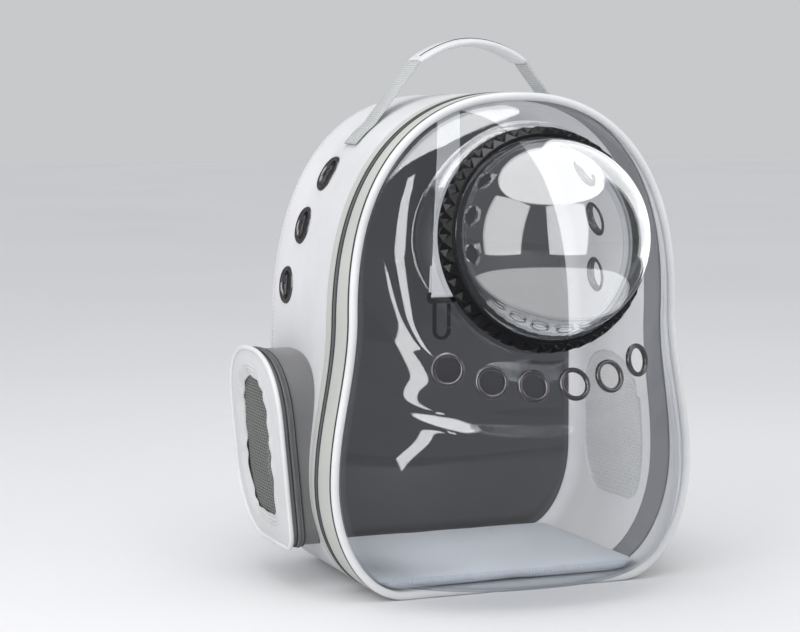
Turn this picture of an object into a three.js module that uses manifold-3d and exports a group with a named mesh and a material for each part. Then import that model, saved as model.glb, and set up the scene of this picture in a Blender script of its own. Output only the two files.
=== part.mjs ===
// Pet carrier backpack with a clear moulded front and a clear bubble.
// Millimetres, +Z up, the front faces -Y, the origin is the middle of the flat base.

import * as THREE from 'three';
import { mergeVertices } from 'three/addons/utils/BufferGeometryUtils.js';
import Module from 'manifold-3d';

const wasm = await Module();
wasm.setup();

// Body
const BODY_WIDTH = 332;
const BODY_HEIGHT = 420;
const BODY_DEPTH = 205;
const WALL = 4;
const REAR_ROUND = 22;
const GAP = 0.3;
const SOFT_GAP = 0.6;

// Front outline and rear outline, as shares of half the width and of the height
const FRONT_FORM = {
  flat: 0.6,
  hip: 1,
  hipRise: 0.238,
  shoulder: 0.9,
  shoulderRise: 0.57,
  top: 1,
  power: 2.3,
};
const REAR_FORM = {
  flat: 0.6,
  hip: 0.94,
  hipRise: 0.214,
  shoulder: 0.94,
  shoulderRise: 0.43,
  top: 0.99,
  power: 2.5,
};
const FLAT_STEPS = 2;
const CORNER_STEPS = 5;
const SIDE_STEPS = 4;
const TOP_STEPS = 9;

// Door rim and main zip
const PIPING_DIAMETER = 7;
const PIPING_SIDES = 6;
const ZIP_SETBACK_BASE = 50;
const ZIP_SETBACK_TOP = 28;
const COIL_WIDTH = 10;
const COIL_THICKNESS = 2;
// The door's hinge strip ends just short of the zip's ends
const HINGE_SHARE = 0.98;
const TAPE_WIDTH = 30;
const TAPE_THICKNESS = 1.2;
const SLIDER_LENGTH = 12;
const SLIDER_WIDTH = 9;
const SLIDER_THICKNESS = 4;
const PULL_LENGTH = 24;
const PULL_WIDTH = 6;
const SLIDER_STEPS = [5, 6.8];

// Clear front. rim: outline step where the row ends, rise: height of its middle,
// swell: how far the middle stands out, as a share of the bulge
const SHELL_THICKNESS = 2;
const SHELL_BULGE = 92;
const SHELL_FULLNESS = 2.6;
const SHELL_ROWS = [
  { rim: 2, rise: 0, swell: 0 },
  { rim: 3, rise: 0.003, swell: 0.33 },
  { rim: 4, rise: 0.015, swell: 0.64 },
  { rim: 5, rise: 0.05, swell: 0.86 },
  { rim: 6, rise: 0.12, swell: 0.965 },
  { rim: 7, rise: 0.2, swell: 1 },
  { rim: 8, rise: 0.29, swell: 1 },
  { rim: 9, rise: 0.332, swell: 0.99 },
  { rim: 9.5, rise: 0.367, swell: 0.86 },
  { rim: 10, rise: 0.401, swell: 0.85 },
  { rim: 11, rise: 0.436, swell: 0.8 },
  { rim: 12, rise: 0.475, swell: 0.7 },
  { rim: 13, rise: 0.62, swell: 0.53 },
  { rim: 14, rise: 0.85, swell: 0.36 },
  { rim: 14.6, rise: 0.94, swell: 0.26 },
  { rim: 15, rise: 1, swell: 0 },
];

// Bubble: seat on the clear front, knurled ring and dome
const SEAT_ABOVE_VENTS = 116;
const SEAT_STAND = 46;
const SEAT_TILT = THREE.MathUtils.degToRad(9.3);
const SEAT_SIDES = 24;
const RING_RADIUS = 93;
const RING_DEPTH = 17;
const RING_LIP = 2.5;
const KNURL_DEPTH = 4;
const KNURL_COUNT = 20;
const DOME_RADIUS = 81.5;
const DOME_WALL = 2;
const DOME_FLANGE = 3.5;
const DOME_SIDES = 22;
const DOME_RINGS = 5;
const DOME_VENT_RADIUS = 7.75;
const DOME_VENT_LIFT = THREE.MathUtils.degToRad(13.3);
const DOME_VENT_MIDDLE = THREE.MathUtils.degToRad(13.6);
const DOME_VENT_SPACING = THREE.MathUtils.degToRad(22.5);

// Eyelets
const EYELET_SIDES = 10;
const VENT_EYELET_RADIUS = 14;
const VENT_EYELET_HOLE = 10;
const VENT_EYELET_DEPTH = 5;
const VENT_ROW = 10;
const VENT_PLACES = [-0.605, -0.374, -0.13, 0.13, 0.374, 0.605];
const SIDE_EYELET_RADIUS = 17;
const SIDE_EYELET_HOLE = 11.5;
const SIDE_EYELET_DEPTH = 7;
const EYELET_CREST = 0.55;
// rise and setback of each side eyelet, as shares of the body's height and depth
const SIDE_EYELETS = [
  { rise: 0.831, setback: 0.595 },
  { rise: 0.725, setback: 0.66 },
  { rise: 0.6, setback: 0.745 },
];

// Side pockets and the mesh windows behind them
const POCKET_WIDTH = 129;
const POCKET_HEIGHT = 162;
const POCKET_BASE = 37;
const POCKET_SETBACK = 130;
const POCKET_DEPTH_TOP = 27;
const POCKET_DEPTH_BASE = 12;
const POCKET_WALL = 3;
const POCKET_ZIP_WIDTH = 7;
const POCKET_ZIP_THICKNESS = 1.5;
const POCKET_PIPING = 5;
// Openings in the pocket's face and in the body wall behind it, as shares of the pocket
const POCKET_WINDOW = { wide: 0.5, high: 0.72 };
const MESH_THICKNESS = 1;
const WALL_WINDOW = { wide: 0.8, high: 0.8 };
const WHOLE = { wide: 1, high: 1 };
// Pocket outline, rear edge first, as shares of its half width and of its height
const POCKET_CORNER_REAR = { across: 0.85, up: 0.34 };
const POCKET_CORNER_FRONT = { across: 0.22, up: 0.1 };
const POCKET_SHOULDER = 0.62;
const POCKET_ARC_STEPS = 5;

// Carry handle
const HANDLE_SETBACK = 108;
const HANDLE_WIDTH = 26;
const WEBBING_THICKNESS = 2;
const HANDLE_RISE = 42;
const HANDLE_FOOT_STEP = 15.9;
const HANDLE_LIFT_STEP = 16.8;
const GRIP_HALF = 50;
const GRIP_WIDTH = 32;
const GRIP_THICKNESS = 9;
const GRIP_CROWN = 17;

// Inside
const BOARD_THICKNESS = 3;
const MAT_THICKNESS = 11;
const MAT_SETBACK = 10;
const LEASH_SETBACK = 165;
const LEASH_LENGTH = 172;
const LEASH_WIDTH = 22;
const HOOK_LENGTH = 43;
const HOOK_WIDTH = 17;
const HOOK_WIRE = 3;
const HOOK_THICKNESS = 4;
const GATE_GAP = 0.5;

// Back
const PAD_WIDTH = 176;
const PAD_HEIGHT = 285;
const PAD_BASE = 55;
const PAD_THICKNESS = 9;
const PAD_CORNER = 30;
const STRAP_WIDTH = 54;
const STRAP_THICKNESS = 11;
const STRAP_TOP = 376;
const STRAP_STAND = 62;
const LOWER_WEBBING_WIDTH = 25;
const ADJUSTER_HEIGHT = 28;
const ADJUSTER_WIDTH = 34;
const ADJUSTER_THICKNESS = 5;

const FRONT_Y = -BODY_DEPTH / 2;
const REAR_Y = BODY_DEPTH / 2;
const HALF_WIDTH = BODY_WIDTH / 2;
const HALF_STEPS = FLAT_STEPS + CORNER_STEPS + SIDE_STEPS + TOP_STEPS;

const mix = (low, high, share) => low + (high - low) * share;

// Materials
const finishes = {
  fabric: { color: 0xe9e9ea, roughness: 0.55, metalness: 0 },
  band: { color: 0xd5dad6, roughness: 0.6, metalness: 0 },
  piping: { color: 0xf4f4f5, roughness: 0.45, metalness: 0 },
  zip: { color: 0x4a4d52, roughness: 0.6, metalness: 0.1 },
  tape: { color: 0x8d9196, roughness: 0.8, metalness: 0 },
  clear: { color: 0xe8eef2, roughness: 0.05, metalness: 0, transparent: true, opacity: 0.25 },
  black: { color: 0x17181b, roughness: 0.3, metalness: 0 },
  gunmetal: { color: 0x55575c, roughness: 0.22, metalness: 1 },
  mesh: { color: 0xb4bab6, roughness: 0.8, metalness: 0 },
  board: { color: 0x4e4e52, roughness: 0.8, metalness: 0 },
  mat: { color: 0xb9c3cd, roughness: 0.8, metalness: 0 },
  webbing: { color: 0xdcdfe0, roughness: 0.75, metalness: 0 },
};
const materials = Object.fromEntries(
  Object.entries(finishes).map(([name, finish]) => [name, new THREE.MeshStandardMaterial(finish)]),
);

// Solids from loops of points

function signedVolume(positions, triangles) {
  const [a, b, c] = [new THREE.Vector3(), new THREE.Vector3(), new THREE.Vector3()];
  let volume = 0;
  for (let i = 0; i < triangles.length; i += 3) {
    a.fromArray(positions, 3 * triangles[i]);
    b.fromArray(positions, 3 * triangles[i + 1]);
    c.fromArray(positions, 3 * triangles[i + 2]);
    volume += a.dot(b.cross(c)) / 6;
  }
  return volume;
}

// A closed body from points and triangles: doubles merged, faces turned outwards
function closedBody(points, triangles) {
  const raw = new THREE.BufferGeometry();
  raw.setAttribute('position', new THREE.Float32BufferAttribute(points.flatMap((p) => [p.x, p.y, p.z]), 3));
  raw.setIndex(triangles);
  const merged = mergeVertices(raw, 1e-3);
  const positions = merged.attributes.position.array;
  const kept = [];
  const index = merged.index.array;
  for (let i = 0; i < index.length; i += 3) {
    const [a, b, c] = [index[i], index[i + 1], index[i + 2]];
    if (a !== b && b !== c && c !== a) kept.push(a, b, c);
  }
  if (signedVolume(positions, kept) < 0) {
    for (let i = 0; i < kept.length; i += 3) [kept[i + 1], kept[i + 2]] = [kept[i + 2], kept[i + 1]];
  }
  merged.setIndex(kept);
  return merged;
}

function bridge(triangles, from, to, count, closed) {
  const last = closed ? count : count - 1;
  for (let i = 0; i < last; i += 1) {
    const next = (i + 1) % count;
    triangles.push(from + i, from + next, to + next, from + i, to + next, to + i);
  }
}

// Loops joined one after another; the ends are closed by fans round their middles
function drum(loops) {
  const count = loops[0].length;
  const points = loops.flat();
  const triangles = [];
  for (let k = 0; k + 1 < loops.length; k += 1) bridge(triangles, k * count, (k + 1) * count, count, true);
  for (const [loop, turned] of [[0, true], [loops.length - 1, false]]) {
    const middle = new THREE.Vector3();
    loops[loop].forEach((p) => middle.add(p));
    points.push(middle.divideScalar(count));
    for (let i = 0; i < count; i += 1) {
      const pair = [loop * count + i, loop * count + ((i + 1) % count)];
      if (turned) pair.reverse();
      triangles.push(points.length - 1, ...pair);
    }
  }
  return closedBody(points, triangles);
}

// Loops joined one after another and the last to the first
function hoop(loops) {
  const count = loops[0].length;
  const triangles = [];
  for (let k = 0; k < loops.length; k += 1) {
    bridge(triangles, k * count, ((k + 1) % loops.length) * count, count, true);
  }
  return closedBody(loops.flat(), triangles);
}

// A wall from a grid of outer points and the same grid of inner points
function wallSolid(outer, inner) {
  const rows = outer.length;
  const columns = outer[0].length;
  const points = [...outer.flat(), ...inner.flat()];
  const behind = rows * columns;
  const triangles = [];
  for (let k = 0; k + 1 < rows; k += 1) {
    bridge(triangles, k * columns, (k + 1) * columns, columns, false);
    bridge(triangles, behind + (k + 1) * columns, behind + k * columns, columns, false);
    for (const [edge, turned] of [[0, true], [columns - 1, false]]) {
      const quad = [k * columns + edge, (k + 1) * columns + edge];
      const [low, high] = turned ? quad : [quad[1], quad[0]];
      triangles.push(low, high, behind + high, low, behind + high, behind + low);
    }
  }
  for (const [row, turned] of [[0, false], [rows - 1, true]]) {
    for (let i = 0; i + 1 < columns; i += 1) {
      const pair = [row * columns + i, row * columns + i + 1];
      const [low, high] = turned ? pair : [pair[1], pair[0]];
      triangles.push(low, high, behind + high, low, behind + high, behind + low);
    }
  }
  return closedBody(points, triangles);
}

// Cutting and joining

function toManifold(geometry) {
  const bare = geometry.clone();
  bare.deleteAttribute('normal');
  bare.deleteAttribute('uv');
  const merged = mergeVertices(bare, 1e-4);
  return new wasm.Manifold(
    new wasm.Mesh({
      numProp: 3,
      vertProperties: new Float32Array(merged.attributes.position.array),
      triVerts: new Uint32Array(merged.index.array),
    }),
  );
}

function toGeometry(solid) {
  const mesh = solid.getMesh();
  const geometry = new THREE.BufferGeometry();
  geometry.setAttribute('position', new THREE.Float32BufferAttribute(mesh.vertProperties, 3));
  geometry.setIndex(Array.from(mesh.triVerts));
  return geometry;
}

const cut = (geometry, ...tools) =>
  toGeometry(tools.reduce((solid, tool) => solid.subtract(toManifold(tool)), toManifold(geometry)));
const join = (geometry, ...others) =>
  toGeometry(others.reduce((solid, other) => solid.add(toManifold(other)), toManifold(geometry)));
const common = (geometry, other) => toGeometry(toManifold(geometry).intersect(toManifold(other)));

// Body outline

function mixForms(share) {
  return Object.fromEntries(
    Object.keys(FRONT_FORM).map((key) => [key, mix(FRONT_FORM[key], REAR_FORM[key], share)]),
  );
}

// Steps run from the apex (-HALF_STEPS) down the left side to the base (0) and up the right side
function wrapStep(step) {
  const turn = 2 * HALF_STEPS;
  return ((((step + HALF_STEPS) % turn) + turn) % turn) - HALF_STEPS;
}

function outlinePoint(form, step) {
  const wrapped = wrapStep(step);
  const side = Math.sign(wrapped);
  let s = Math.abs(wrapped);
  const flat = form.flat * HALF_WIDTH;
  const hip = form.hip * HALF_WIDTH;
  const shoulder = form.shoulder * HALF_WIDTH;
  const hipRise = form.hipRise * BODY_HEIGHT;
  const shoulderRise = form.shoulderRise * BODY_HEIGHT;
  const top = form.top * BODY_HEIGHT;
  if (s <= FLAT_STEPS) return [side * flat * (s / FLAT_STEPS), 0];
  s -= FLAT_STEPS;
  if (s <= CORNER_STEPS) {
    const angle = (s / CORNER_STEPS) * (Math.PI / 2);
    return [side * mix(flat, hip, Math.sin(angle)), hipRise * (1 - Math.cos(angle))];
  }
  s -= CORNER_STEPS;
  if (s <= SIDE_STEPS) {
    const share = s / SIDE_STEPS;
    const x = mix(hip, shoulder, (1 - Math.cos(Math.PI * share)) / 2);
    return [side * x, mix(hipRise, shoulderRise, share)];
  }
  s -= SIDE_STEPS;
  const angle = (s / TOP_STEPS) * (Math.PI / 2);
  const x = shoulder * Math.max(0, Math.cos(angle)) ** (2 / form.power);
  const z = shoulderRise + (top - shoulderRise) * Math.sin(angle) ** (2 / form.power);
  return [side * x, z];
}

// The outline moved inwards by inset
function insetPoint(form, step, inset) {
  const reach = 0.02;
  const [x, z] = outlinePoint(form, step);
  const [x1, z1] = outlinePoint(form, step - reach);
  const [x2, z2] = outlinePoint(form, step + reach);
  const length = Math.hypot(x2 - x1, z2 - z1);
  return [x - ((z2 - z1) / length) * inset, z + ((x2 - x1) / length) * inset];
}

// A point of the body's skin at one depth, moved inwards by inset
function skinPoint(step, y, inset) {
  const [x, z] = insetPoint(mixForms((y - FRONT_Y) / BODY_DEPTH), step, inset);
  return new THREE.Vector3(x, y, z);
}

const ringSteps = Array.from({ length: 2 * HALF_STEPS }, (_, i) => i - HALF_STEPS);

// The zip's plane leans back towards the base
function zipY(step) {
  const [, z] = outlinePoint(FRONT_FORM, step);
  return FRONT_Y + mix(ZIP_SETBACK_BASE, ZIP_SETBACK_TOP, z / BODY_HEIGHT);
}

// Body form from behind the zip to the rounded rear edge, moved inwards by inset
function bodyDrum(inset, frontReach) {
  const start = (step) => zipY(step) + COIL_WIDTH / 2 + GAP - frontReach;
  const round = REAR_ROUND - inset;
  const loops = [0, 0.35, 0.7, 1].map((share) =>
    ringSteps.map((step) => skinPoint(step, mix(start(step), REAR_Y - REAR_ROUND, share), inset)),
  );
  for (const angle of [30, 60, 90].map(THREE.MathUtils.degToRad)) {
    const y = REAR_Y - REAR_ROUND + round * Math.sin(angle);
    loops.push(ringSteps.map((step) => skinPoint(step, y, REAR_ROUND - round * Math.cos(angle))));
  }
  return drum(loops);
}

// Side pockets: outline in depth and height, centred on the pocket's middle line
function pocketOutline(scale, grow) {
  const half = (POCKET_WIDTH / 2) * scale.wide + grow;
  const height = POCKET_HEIGHT * scale.high + 2 * grow;
  const base = POCKET_BASE + (POCKET_HEIGHT * (1 - scale.high)) / 2 - grow;
  const corners = [
    { side: 1, ...POCKET_CORNER_REAR, from: 0 },
    { side: -1, ...POCKET_CORNER_FRONT, from: 1 },
  ];
  const points = [];
  const shoulder = base + height * POCKET_SHOULDER;
  for (let i = 0; i <= 2 * POCKET_ARC_STEPS; i += 1) {
    const angle = (i / (2 * POCKET_ARC_STEPS)) * Math.PI;
    const across = Math.sign(Math.cos(angle)) * Math.abs(Math.cos(angle)) ** 0.8;
    points.push([-half * across, shoulder + (base + height - shoulder) * Math.sin(angle) ** 0.8]);
  }
  for (const corner of corners) {
    const wide = corner.across * half;
    const high = corner.up * height;
    for (let i = 0; i <= POCKET_ARC_STEPS; i += 1) {
      const share = i / POCKET_ARC_STEPS;
      const angle = (corner.from ? 1 - share : share) * (Math.PI / 2);
      const out = half - wide + wide * Math.cos(angle);
      points.push([corner.side * out, base + high - high * Math.sin(angle)]);
    }
  }
  return points.map(([y, z]) => [y + FRONT_Y + POCKET_SETBACK, z]);
}

function pocketFaceX(z) {
  const share = (z - POCKET_BASE) / POCKET_HEIGHT;
  return HALF_WIDTH + mix(POCKET_DEPTH_BASE, POCKET_DEPTH_TOP, share);
}

// A prism of a pocket outline from one distance outside its face to another
function pocketPrism(side, scale, grow, inner, outer) {
  const outline = pocketOutline(scale, grow);
  const loop = (offset) => outline.map(([y, z]) => new THREE.Vector3(side * (pocketFaceX(z) + offset), y, z));
  return drum([loop(inner), loop(outer)]);
}

const POCKET_REACH = -70;
const bodyClearance = bodyDrum(-GAP, COIL_WIDTH);

function pocketShell(side) {
  const outside = pocketPrism(side, WHOLE, 0, POCKET_REACH, 0);
  const inside = pocketPrism(side, WHOLE, -POCKET_WALL, POCKET_REACH - 1, -POCKET_WALL);
  const window = pocketPrism(side, POCKET_WINDOW, 0, -2 * POCKET_WALL, POCKET_WALL);
  return cut(outside, inside, window, bodyClearance);
}

function pocketRing(side, grow, thickness, inner, outer) {
  const loops = pocketOutline(WHOLE, grow).map((low, i) => {
    const high = pocketOutline(WHOLE, grow + thickness)[i];
    return [
      [low, inner],
      [high, inner],
      [high, outer],
      [low, outer],
    ].map(([[y, z], offset]) => new THREE.Vector3(side * (pocketFaceX(z) + offset), y, z));
  });
  return hoop(loops);
}

function pocketZip(side) {
  const middle = -POCKET_DEPTH_TOP / 3;
  const low = middle - POCKET_ZIP_WIDTH / 2;
  const ring = pocketRing(side, GAP, POCKET_ZIP_THICKNESS, low, low + POCKET_ZIP_WIDTH);
  return cut(ring, bodyClearance);
}

function pocketPiping(side) {
  return pocketRing(side, GAP, POCKET_PIPING * 0.6, -POCKET_PIPING / 2, POCKET_PIPING / 2);
}

function pocketMesh(side) {
  const offset = -POCKET_WALL / 2;
  return pocketPrism(side, POCKET_WINDOW, -GAP, offset - MESH_THICKNESS / 2, offset + MESH_THICKNESS / 2);
}

function windowPrism(side, grow) {
  return pocketPrism(side, WALL_WINDOW, grow, POCKET_REACH, 0);
}

function windowMesh(side) {
  const outside = bodyDrum((WALL - MESH_THICKNESS) / 2, 0);
  const sheet = cut(outside, bodyDrum((WALL + MESH_THICKNESS) / 2, COIL_WIDTH));
  return common(sheet, windowPrism(side, -GAP));
}

// Eyelets
function eyelet(hole, radius, depth) {
  const crest = mix(hole, radius, EYELET_CREST);
  const profile = [
    [hole, -depth * 0.3],
    [crest, -depth / 2],
    [radius, 0],
    [crest, depth / 2],
    [hole, depth * 0.3],
    [hole, -depth * 0.3],
  ];
  return new THREE.LatheGeometry(profile.map(([r, h]) => new THREE.Vector2(r, h)), EYELET_SIDES);
}

// A drill for an eyelet's hole, clear of it all round
function drill(place, radius, sides, length) {
  const tool = new THREE.CylinderGeometry(radius, radius, length, sides);
  tool.applyMatrix4(place);
  return tool;
}

// A frame whose +Y points along the outward direction
function frameAt(point, outward) {
  const turn = new THREE.Quaternion().setFromUnitVectors(new THREE.Vector3(0, 1, 0), outward);
  return new THREE.Matrix4().compose(point, turn, new THREE.Vector3(1, 1, 1));
}

function sideEyeletFrame(side, { rise, setback }) {
  const y = FRONT_Y + setback * BODY_DEPTH;
  const z = rise * BODY_HEIGHT;
  let low = FLAT_STEPS + CORNER_STEPS;
  let high = HALF_STEPS;
  for (let i = 0; i < 40; i += 1) {
    const middle = (low + high) / 2;
    if (skinPoint(middle, y, WALL / 2).z < z) low = middle;
    else high = middle;
  }
  const point = skinPoint(side * low, y, WALL / 2);
  const outward = skinPoint(side * low, y, 0).sub(point).normalize();
  return frameAt(point, outward);
}

// Clear front
const shellInset = PIPING_DIAMETER + 0.5;
const shellEdgeY = FRONT_Y + PIPING_DIAMETER / 2 + SHELL_THICKNESS / 2;
const lastRow = SHELL_ROWS[SHELL_ROWS.length - 1];
const crown = [];
for (let step = lastRow.rim; step <= HALF_STEPS; step += 1) {
  const [x, z] = insetPoint(FRONT_FORM, Math.min(step, HALF_STEPS - 1e-6), shellInset);
  crown.push([x, z]);
}
const [crownHalf, crownFoot] = crown[0];
const shellTop = crown[crown.length - 1][1];
const shellBase = insetPoint(FRONT_FORM, 0, shellInset)[1];

// Height share of the crown at a share of its half width
function crownShare(across) {
  const x = Math.abs(across) * crownHalf;
  let k = 0;
  while (k + 2 < crown.length && crown[k + 1][0] > x) k += 1;
  const share = (x - crown[k][0]) / (crown[k + 1][0] - crown[k][0]);
  return (mix(crown[k][1], crown[k + 1][1], share) - crownFoot) / (shellTop - crownFoot);
}

function shellPoint(row, across) {
  const k = Math.min(Math.floor(row), SHELL_ROWS.length - 2);
  const [low, high] = [SHELL_ROWS[k], SHELL_ROWS[k + 1]];
  const share = row - k;
  const [endX, endZ] = insetPoint(FRONT_FORM, mix(low.rim, high.rim, share), shellInset);
  const middleZ = mix(shellBase, shellTop, mix(low.rise, high.rise, share));
  const stand = SHELL_BULGE * mix(low.swell, high.swell, share) * (1 - Math.abs(across) ** SHELL_FULLNESS);
  const z = endZ + (middleZ - endZ) * crownShare(across);
  return new THREE.Vector3(across * endX, shellEdgeY - SHELL_THICKNESS - stand, z);
}

const shellAcross = [
  ...crown.map(([x]) => -x / crownHalf),
  ...crown.slice(0, -1).reverse().map(([x]) => x / crownHalf),
];
const shellGrid = SHELL_ROWS.map((_, row) => shellAcross.map((across) => shellPoint(row, across)));
const shifted = (grid, y) => grid.map((row) => row.map((p) => new THREE.Vector3(p.x, p.y + y, p.z)));

function ventFrame(across) {
  const reach = 0.02;
  const point = shellPoint(VENT_ROW, across).add(new THREE.Vector3(0, SHELL_THICKNESS / 2, 0));
  const along = shellPoint(VENT_ROW, across + reach).sub(shellPoint(VENT_ROW, across - reach));
  const up = shellPoint(VENT_ROW + reach, across).sub(shellPoint(VENT_ROW - reach, across));
  return frameAt(point, along.cross(up).normalize());
}

// Bubble frame: +Y of the group points out of the seat
const seatRise = shellPoint(VENT_ROW, 0).z + SEAT_ABOVE_VENTS;
const bubbleGroup = new THREE.Group();
bubbleGroup.position.set(0, shellEdgeY - SHELL_THICKNESS - SEAT_STAND, seatRise);
bubbleGroup.rotation.x = Math.PI - SEAT_TILT;
bubbleGroup.updateMatrix();

const domeNeck = RING_DEPTH - 1;
const flangeRadius = DOME_RADIUS + DOME_FLANGE;
const seatRadius = RING_RADIUS + 3;

const lathe = (profile, sides) =>
  new THREE.LatheGeometry(profile.map(([r, h]) => new THREE.Vector2(r, h)), sides);

function seatTool(profile) {
  return lathe(profile, SEAT_SIDES).applyMatrix4(bubbleGroup.matrix);
}

function clearFront() {
  const sheet = wallSolid(shellGrid, shifted(shellGrid, SHELL_THICKNESS));
  const inFront = wallSolid(shifted(shellGrid, -2 * SHELL_BULGE), shifted(shellGrid, SHELL_THICKNESS));
  const deep = SEAT_STAND;
  const wallInside = seatRadius - SHELL_THICKNESS;
  const opening = seatTool([[0, -deep], [wallInside + 0.5, -deep], [wallInside + 0.5, deep], [0, deep]]);
  const collar = seatTool([
    [wallInside, -deep],
    [seatRadius, -deep],
    [seatRadius, 0],
    [wallInside, 0],
    [wallInside, -deep],
  ]);
  const seatHole = DOME_RADIUS - DOME_FLANGE - DOME_WALL;
  const seat = seatTool([
    [seatHole, -SHELL_THICKNESS],
    [seatRadius, -SHELL_THICKNESS],
    [seatRadius, 0],
    [seatHole, 0],
    [seatHole, -SHELL_THICKNESS],
  ]);
  const holes = VENT_PLACES.map((across) =>
    drill(ventFrame(across), VENT_EYELET_RADIUS + GAP, EYELET_SIDES, 6 * VENT_EYELET_DEPTH),
  );
  return cut(join(cut(sheet, opening), common(collar, inFront), seat), ...holes);
}

function bubbleRing() {
  const foot = GAP + DOME_WALL + GAP;
  const loops = [];
  for (let i = 0; i < 2 * KNURL_COUNT; i += 1) {
    const angle = (i / (2 * KNURL_COUNT)) * 2 * Math.PI;
    const peak = i % 2 ? RING_RADIUS : RING_RADIUS - KNURL_DEPTH;
    const edge = i % 2 ? RING_RADIUS - KNURL_DEPTH / 2 : RING_RADIUS - KNURL_DEPTH / 4;
    const profile = [
      [flangeRadius + SOFT_GAP, GAP],
      [edge, GAP],
      [peak, RING_DEPTH / 2],
      [edge - 1, RING_DEPTH - 1],
      [edge - 3, RING_DEPTH],
      [DOME_RADIUS + RING_LIP, RING_DEPTH],
      [DOME_RADIUS + SOFT_GAP, RING_DEPTH - RING_LIP],
      [DOME_RADIUS + SOFT_GAP, foot],
      [flangeRadius + SOFT_GAP, foot],
    ];
    loops.push(profile.map(([r, h]) => new THREE.Vector3(r * Math.cos(angle), h, r * Math.sin(angle))));
  }
  return hoop(loops);
}

function bubbleDome() {
  const inner = DOME_RADIUS - DOME_WALL;
  const profile = [
    [inner, GAP],
    [flangeRadius, GAP],
    [flangeRadius, GAP + DOME_WALL],
    [DOME_RADIUS, GAP + DOME_WALL],
  ];
  const arc = (radius, i) => {
    const angle = (i / DOME_RINGS) * (Math.PI / 2);
    return [i === DOME_RINGS ? 0 : radius * Math.cos(angle), domeNeck + radius * Math.sin(angle)];
  };
  for (let i = 0; i <= DOME_RINGS; i += 1) profile.push(arc(DOME_RADIUS, i));
  for (let i = DOME_RINGS; i >= 0; i -= 1) profile.push(arc(inner, i));
  profile.push([inner, GAP]);
  const middle = new THREE.Vector3(0, domeNeck, 0);
  const holes = [];
  for (const side of [-1, 1]) {
    for (const place of [-1, 0, 1]) {
      const round = DOME_VENT_MIDDLE + place * DOME_VENT_SPACING;
      const level = Math.cos(DOME_VENT_LIFT);
      // Local +Z of the bubble points down, so up the dome is -Z
      const outward = new THREE.Vector3(
        side * level * Math.cos(round),
        Math.sin(DOME_VENT_LIFT),
        -level * Math.sin(round),
      );
      const point = middle.clone().addScaledVector(outward, DOME_RADIUS);
      holes.push(drill(frameAt(point, outward), DOME_VENT_RADIUS, EYELET_SIDES, 6 * DOME_WALL));
    }
  }
  return cut(lathe(profile, DOME_SIDES), ...holes);
}

// Door rim
function rimPiping() {
  const radius = PIPING_DIAMETER / 2;
  return hoop(
    ringSteps.map((step) =>
      Array.from({ length: PIPING_SIDES }, (_, i) => {
        const angle = ((i + 0.5) / PIPING_SIDES) * 2 * Math.PI;
        const y = FRONT_Y + radius + radius * Math.sin(angle);
        return skinPoint(step, y, radius + radius * Math.cos(angle));
      }),
    ),
  );
}

// A strip's section at one step: from one depth to another and one inset to another
function stripSection(step, startY, endY, outerInset, innerInset) {
  return [
    skinPoint(step, startY, outerInset),
    skinPoint(step, startY, innerInset),
    skinPoint(step, endY, innerInset),
    skinPoint(step, endY, outerInset),
  ];
}

function doorBand() {
  const start = FRONT_Y + PIPING_DIAMETER + GAP;
  return hoop(ringSteps.map((step) => stripSection(step, start, zipY(step) - COIL_WIDTH / 2 - GAP, 0, WALL)));
}

function zipTape() {
  const inset = WALL + SOFT_GAP;
  const half = TAPE_WIDTH / 2;
  return hoop(
    ringSteps.map((step) =>
      stripSection(step, zipY(step) - half, zipY(step) + half, inset, inset + TAPE_THICKNESS),
    ),
  );
}

const coilInset = (WALL - COIL_THICKNESS) / 2;

function stripRun(steps, halfWidth, inset, thickness) {
  return drum(
    steps.map((step) =>
      stripSection(step, zipY(step) - halfWidth, zipY(step) + halfWidth, inset, inset + thickness),
    ),
  );
}

const zipEnd = FLAT_STEPS + 1;
const overTop = Array.from({ length: 2 * (HALF_STEPS - zipEnd) + 1 }, (_, i) => zipEnd + i);
const underBase = Array.from({ length: 2 * zipEnd + 1 }, (_, i) => i - zipEnd);

function zipCoil() {
  return stripRun(overTop, COIL_WIDTH / 2, coilInset, COIL_THICKNESS);
}

function doorHinge() {
  const trimmed = underBase.map((step) => step * HINGE_SHARE);
  return stripRun(trimmed, COIL_WIDTH / 2, coilInset, COIL_THICKNESS);
}

function zipSlider() {
  const body = new THREE.BoxGeometry(SLIDER_THICKNESS, SLIDER_WIDTH, SLIDER_LENGTH);
  const pull = new THREE.BoxGeometry(SLIDER_THICKNESS / 2, PULL_WIDTH, PULL_LENGTH);
  pull.translate(SLIDER_THICKNESS / 2, 0, -(PULL_LENGTH + SLIDER_LENGTH) / 2 + 2);
  return join(body, pull);
}

// Strips along a path of middle points: each section is a flat box across the path
function strap(path, width, thickness) {
  const loops = path.map(({ point, across, outward, widen = 1 }) => {
    const side = across.clone().multiplyScalar((width / 2) * widen);
    const face = outward.clone().multiplyScalar(thickness / 2);
    return [
      point.clone().sub(side).sub(face),
      point.clone().add(side).sub(face),
      point.clone().add(side).add(face),
      point.clone().sub(side).add(face),
    ];
  });
  return drum(loops);
}

// Carry handle: feet on the skin, then up to the grip
const handleY = FRONT_Y + HANDLE_SETBACK;
const handleTop = BODY_HEIGHT + HANDLE_RISE;
const footStand = 1 + WEBBING_THICKNESS / 2;
const gripEndZ = handleTop - GRIP_CROWN;

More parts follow.
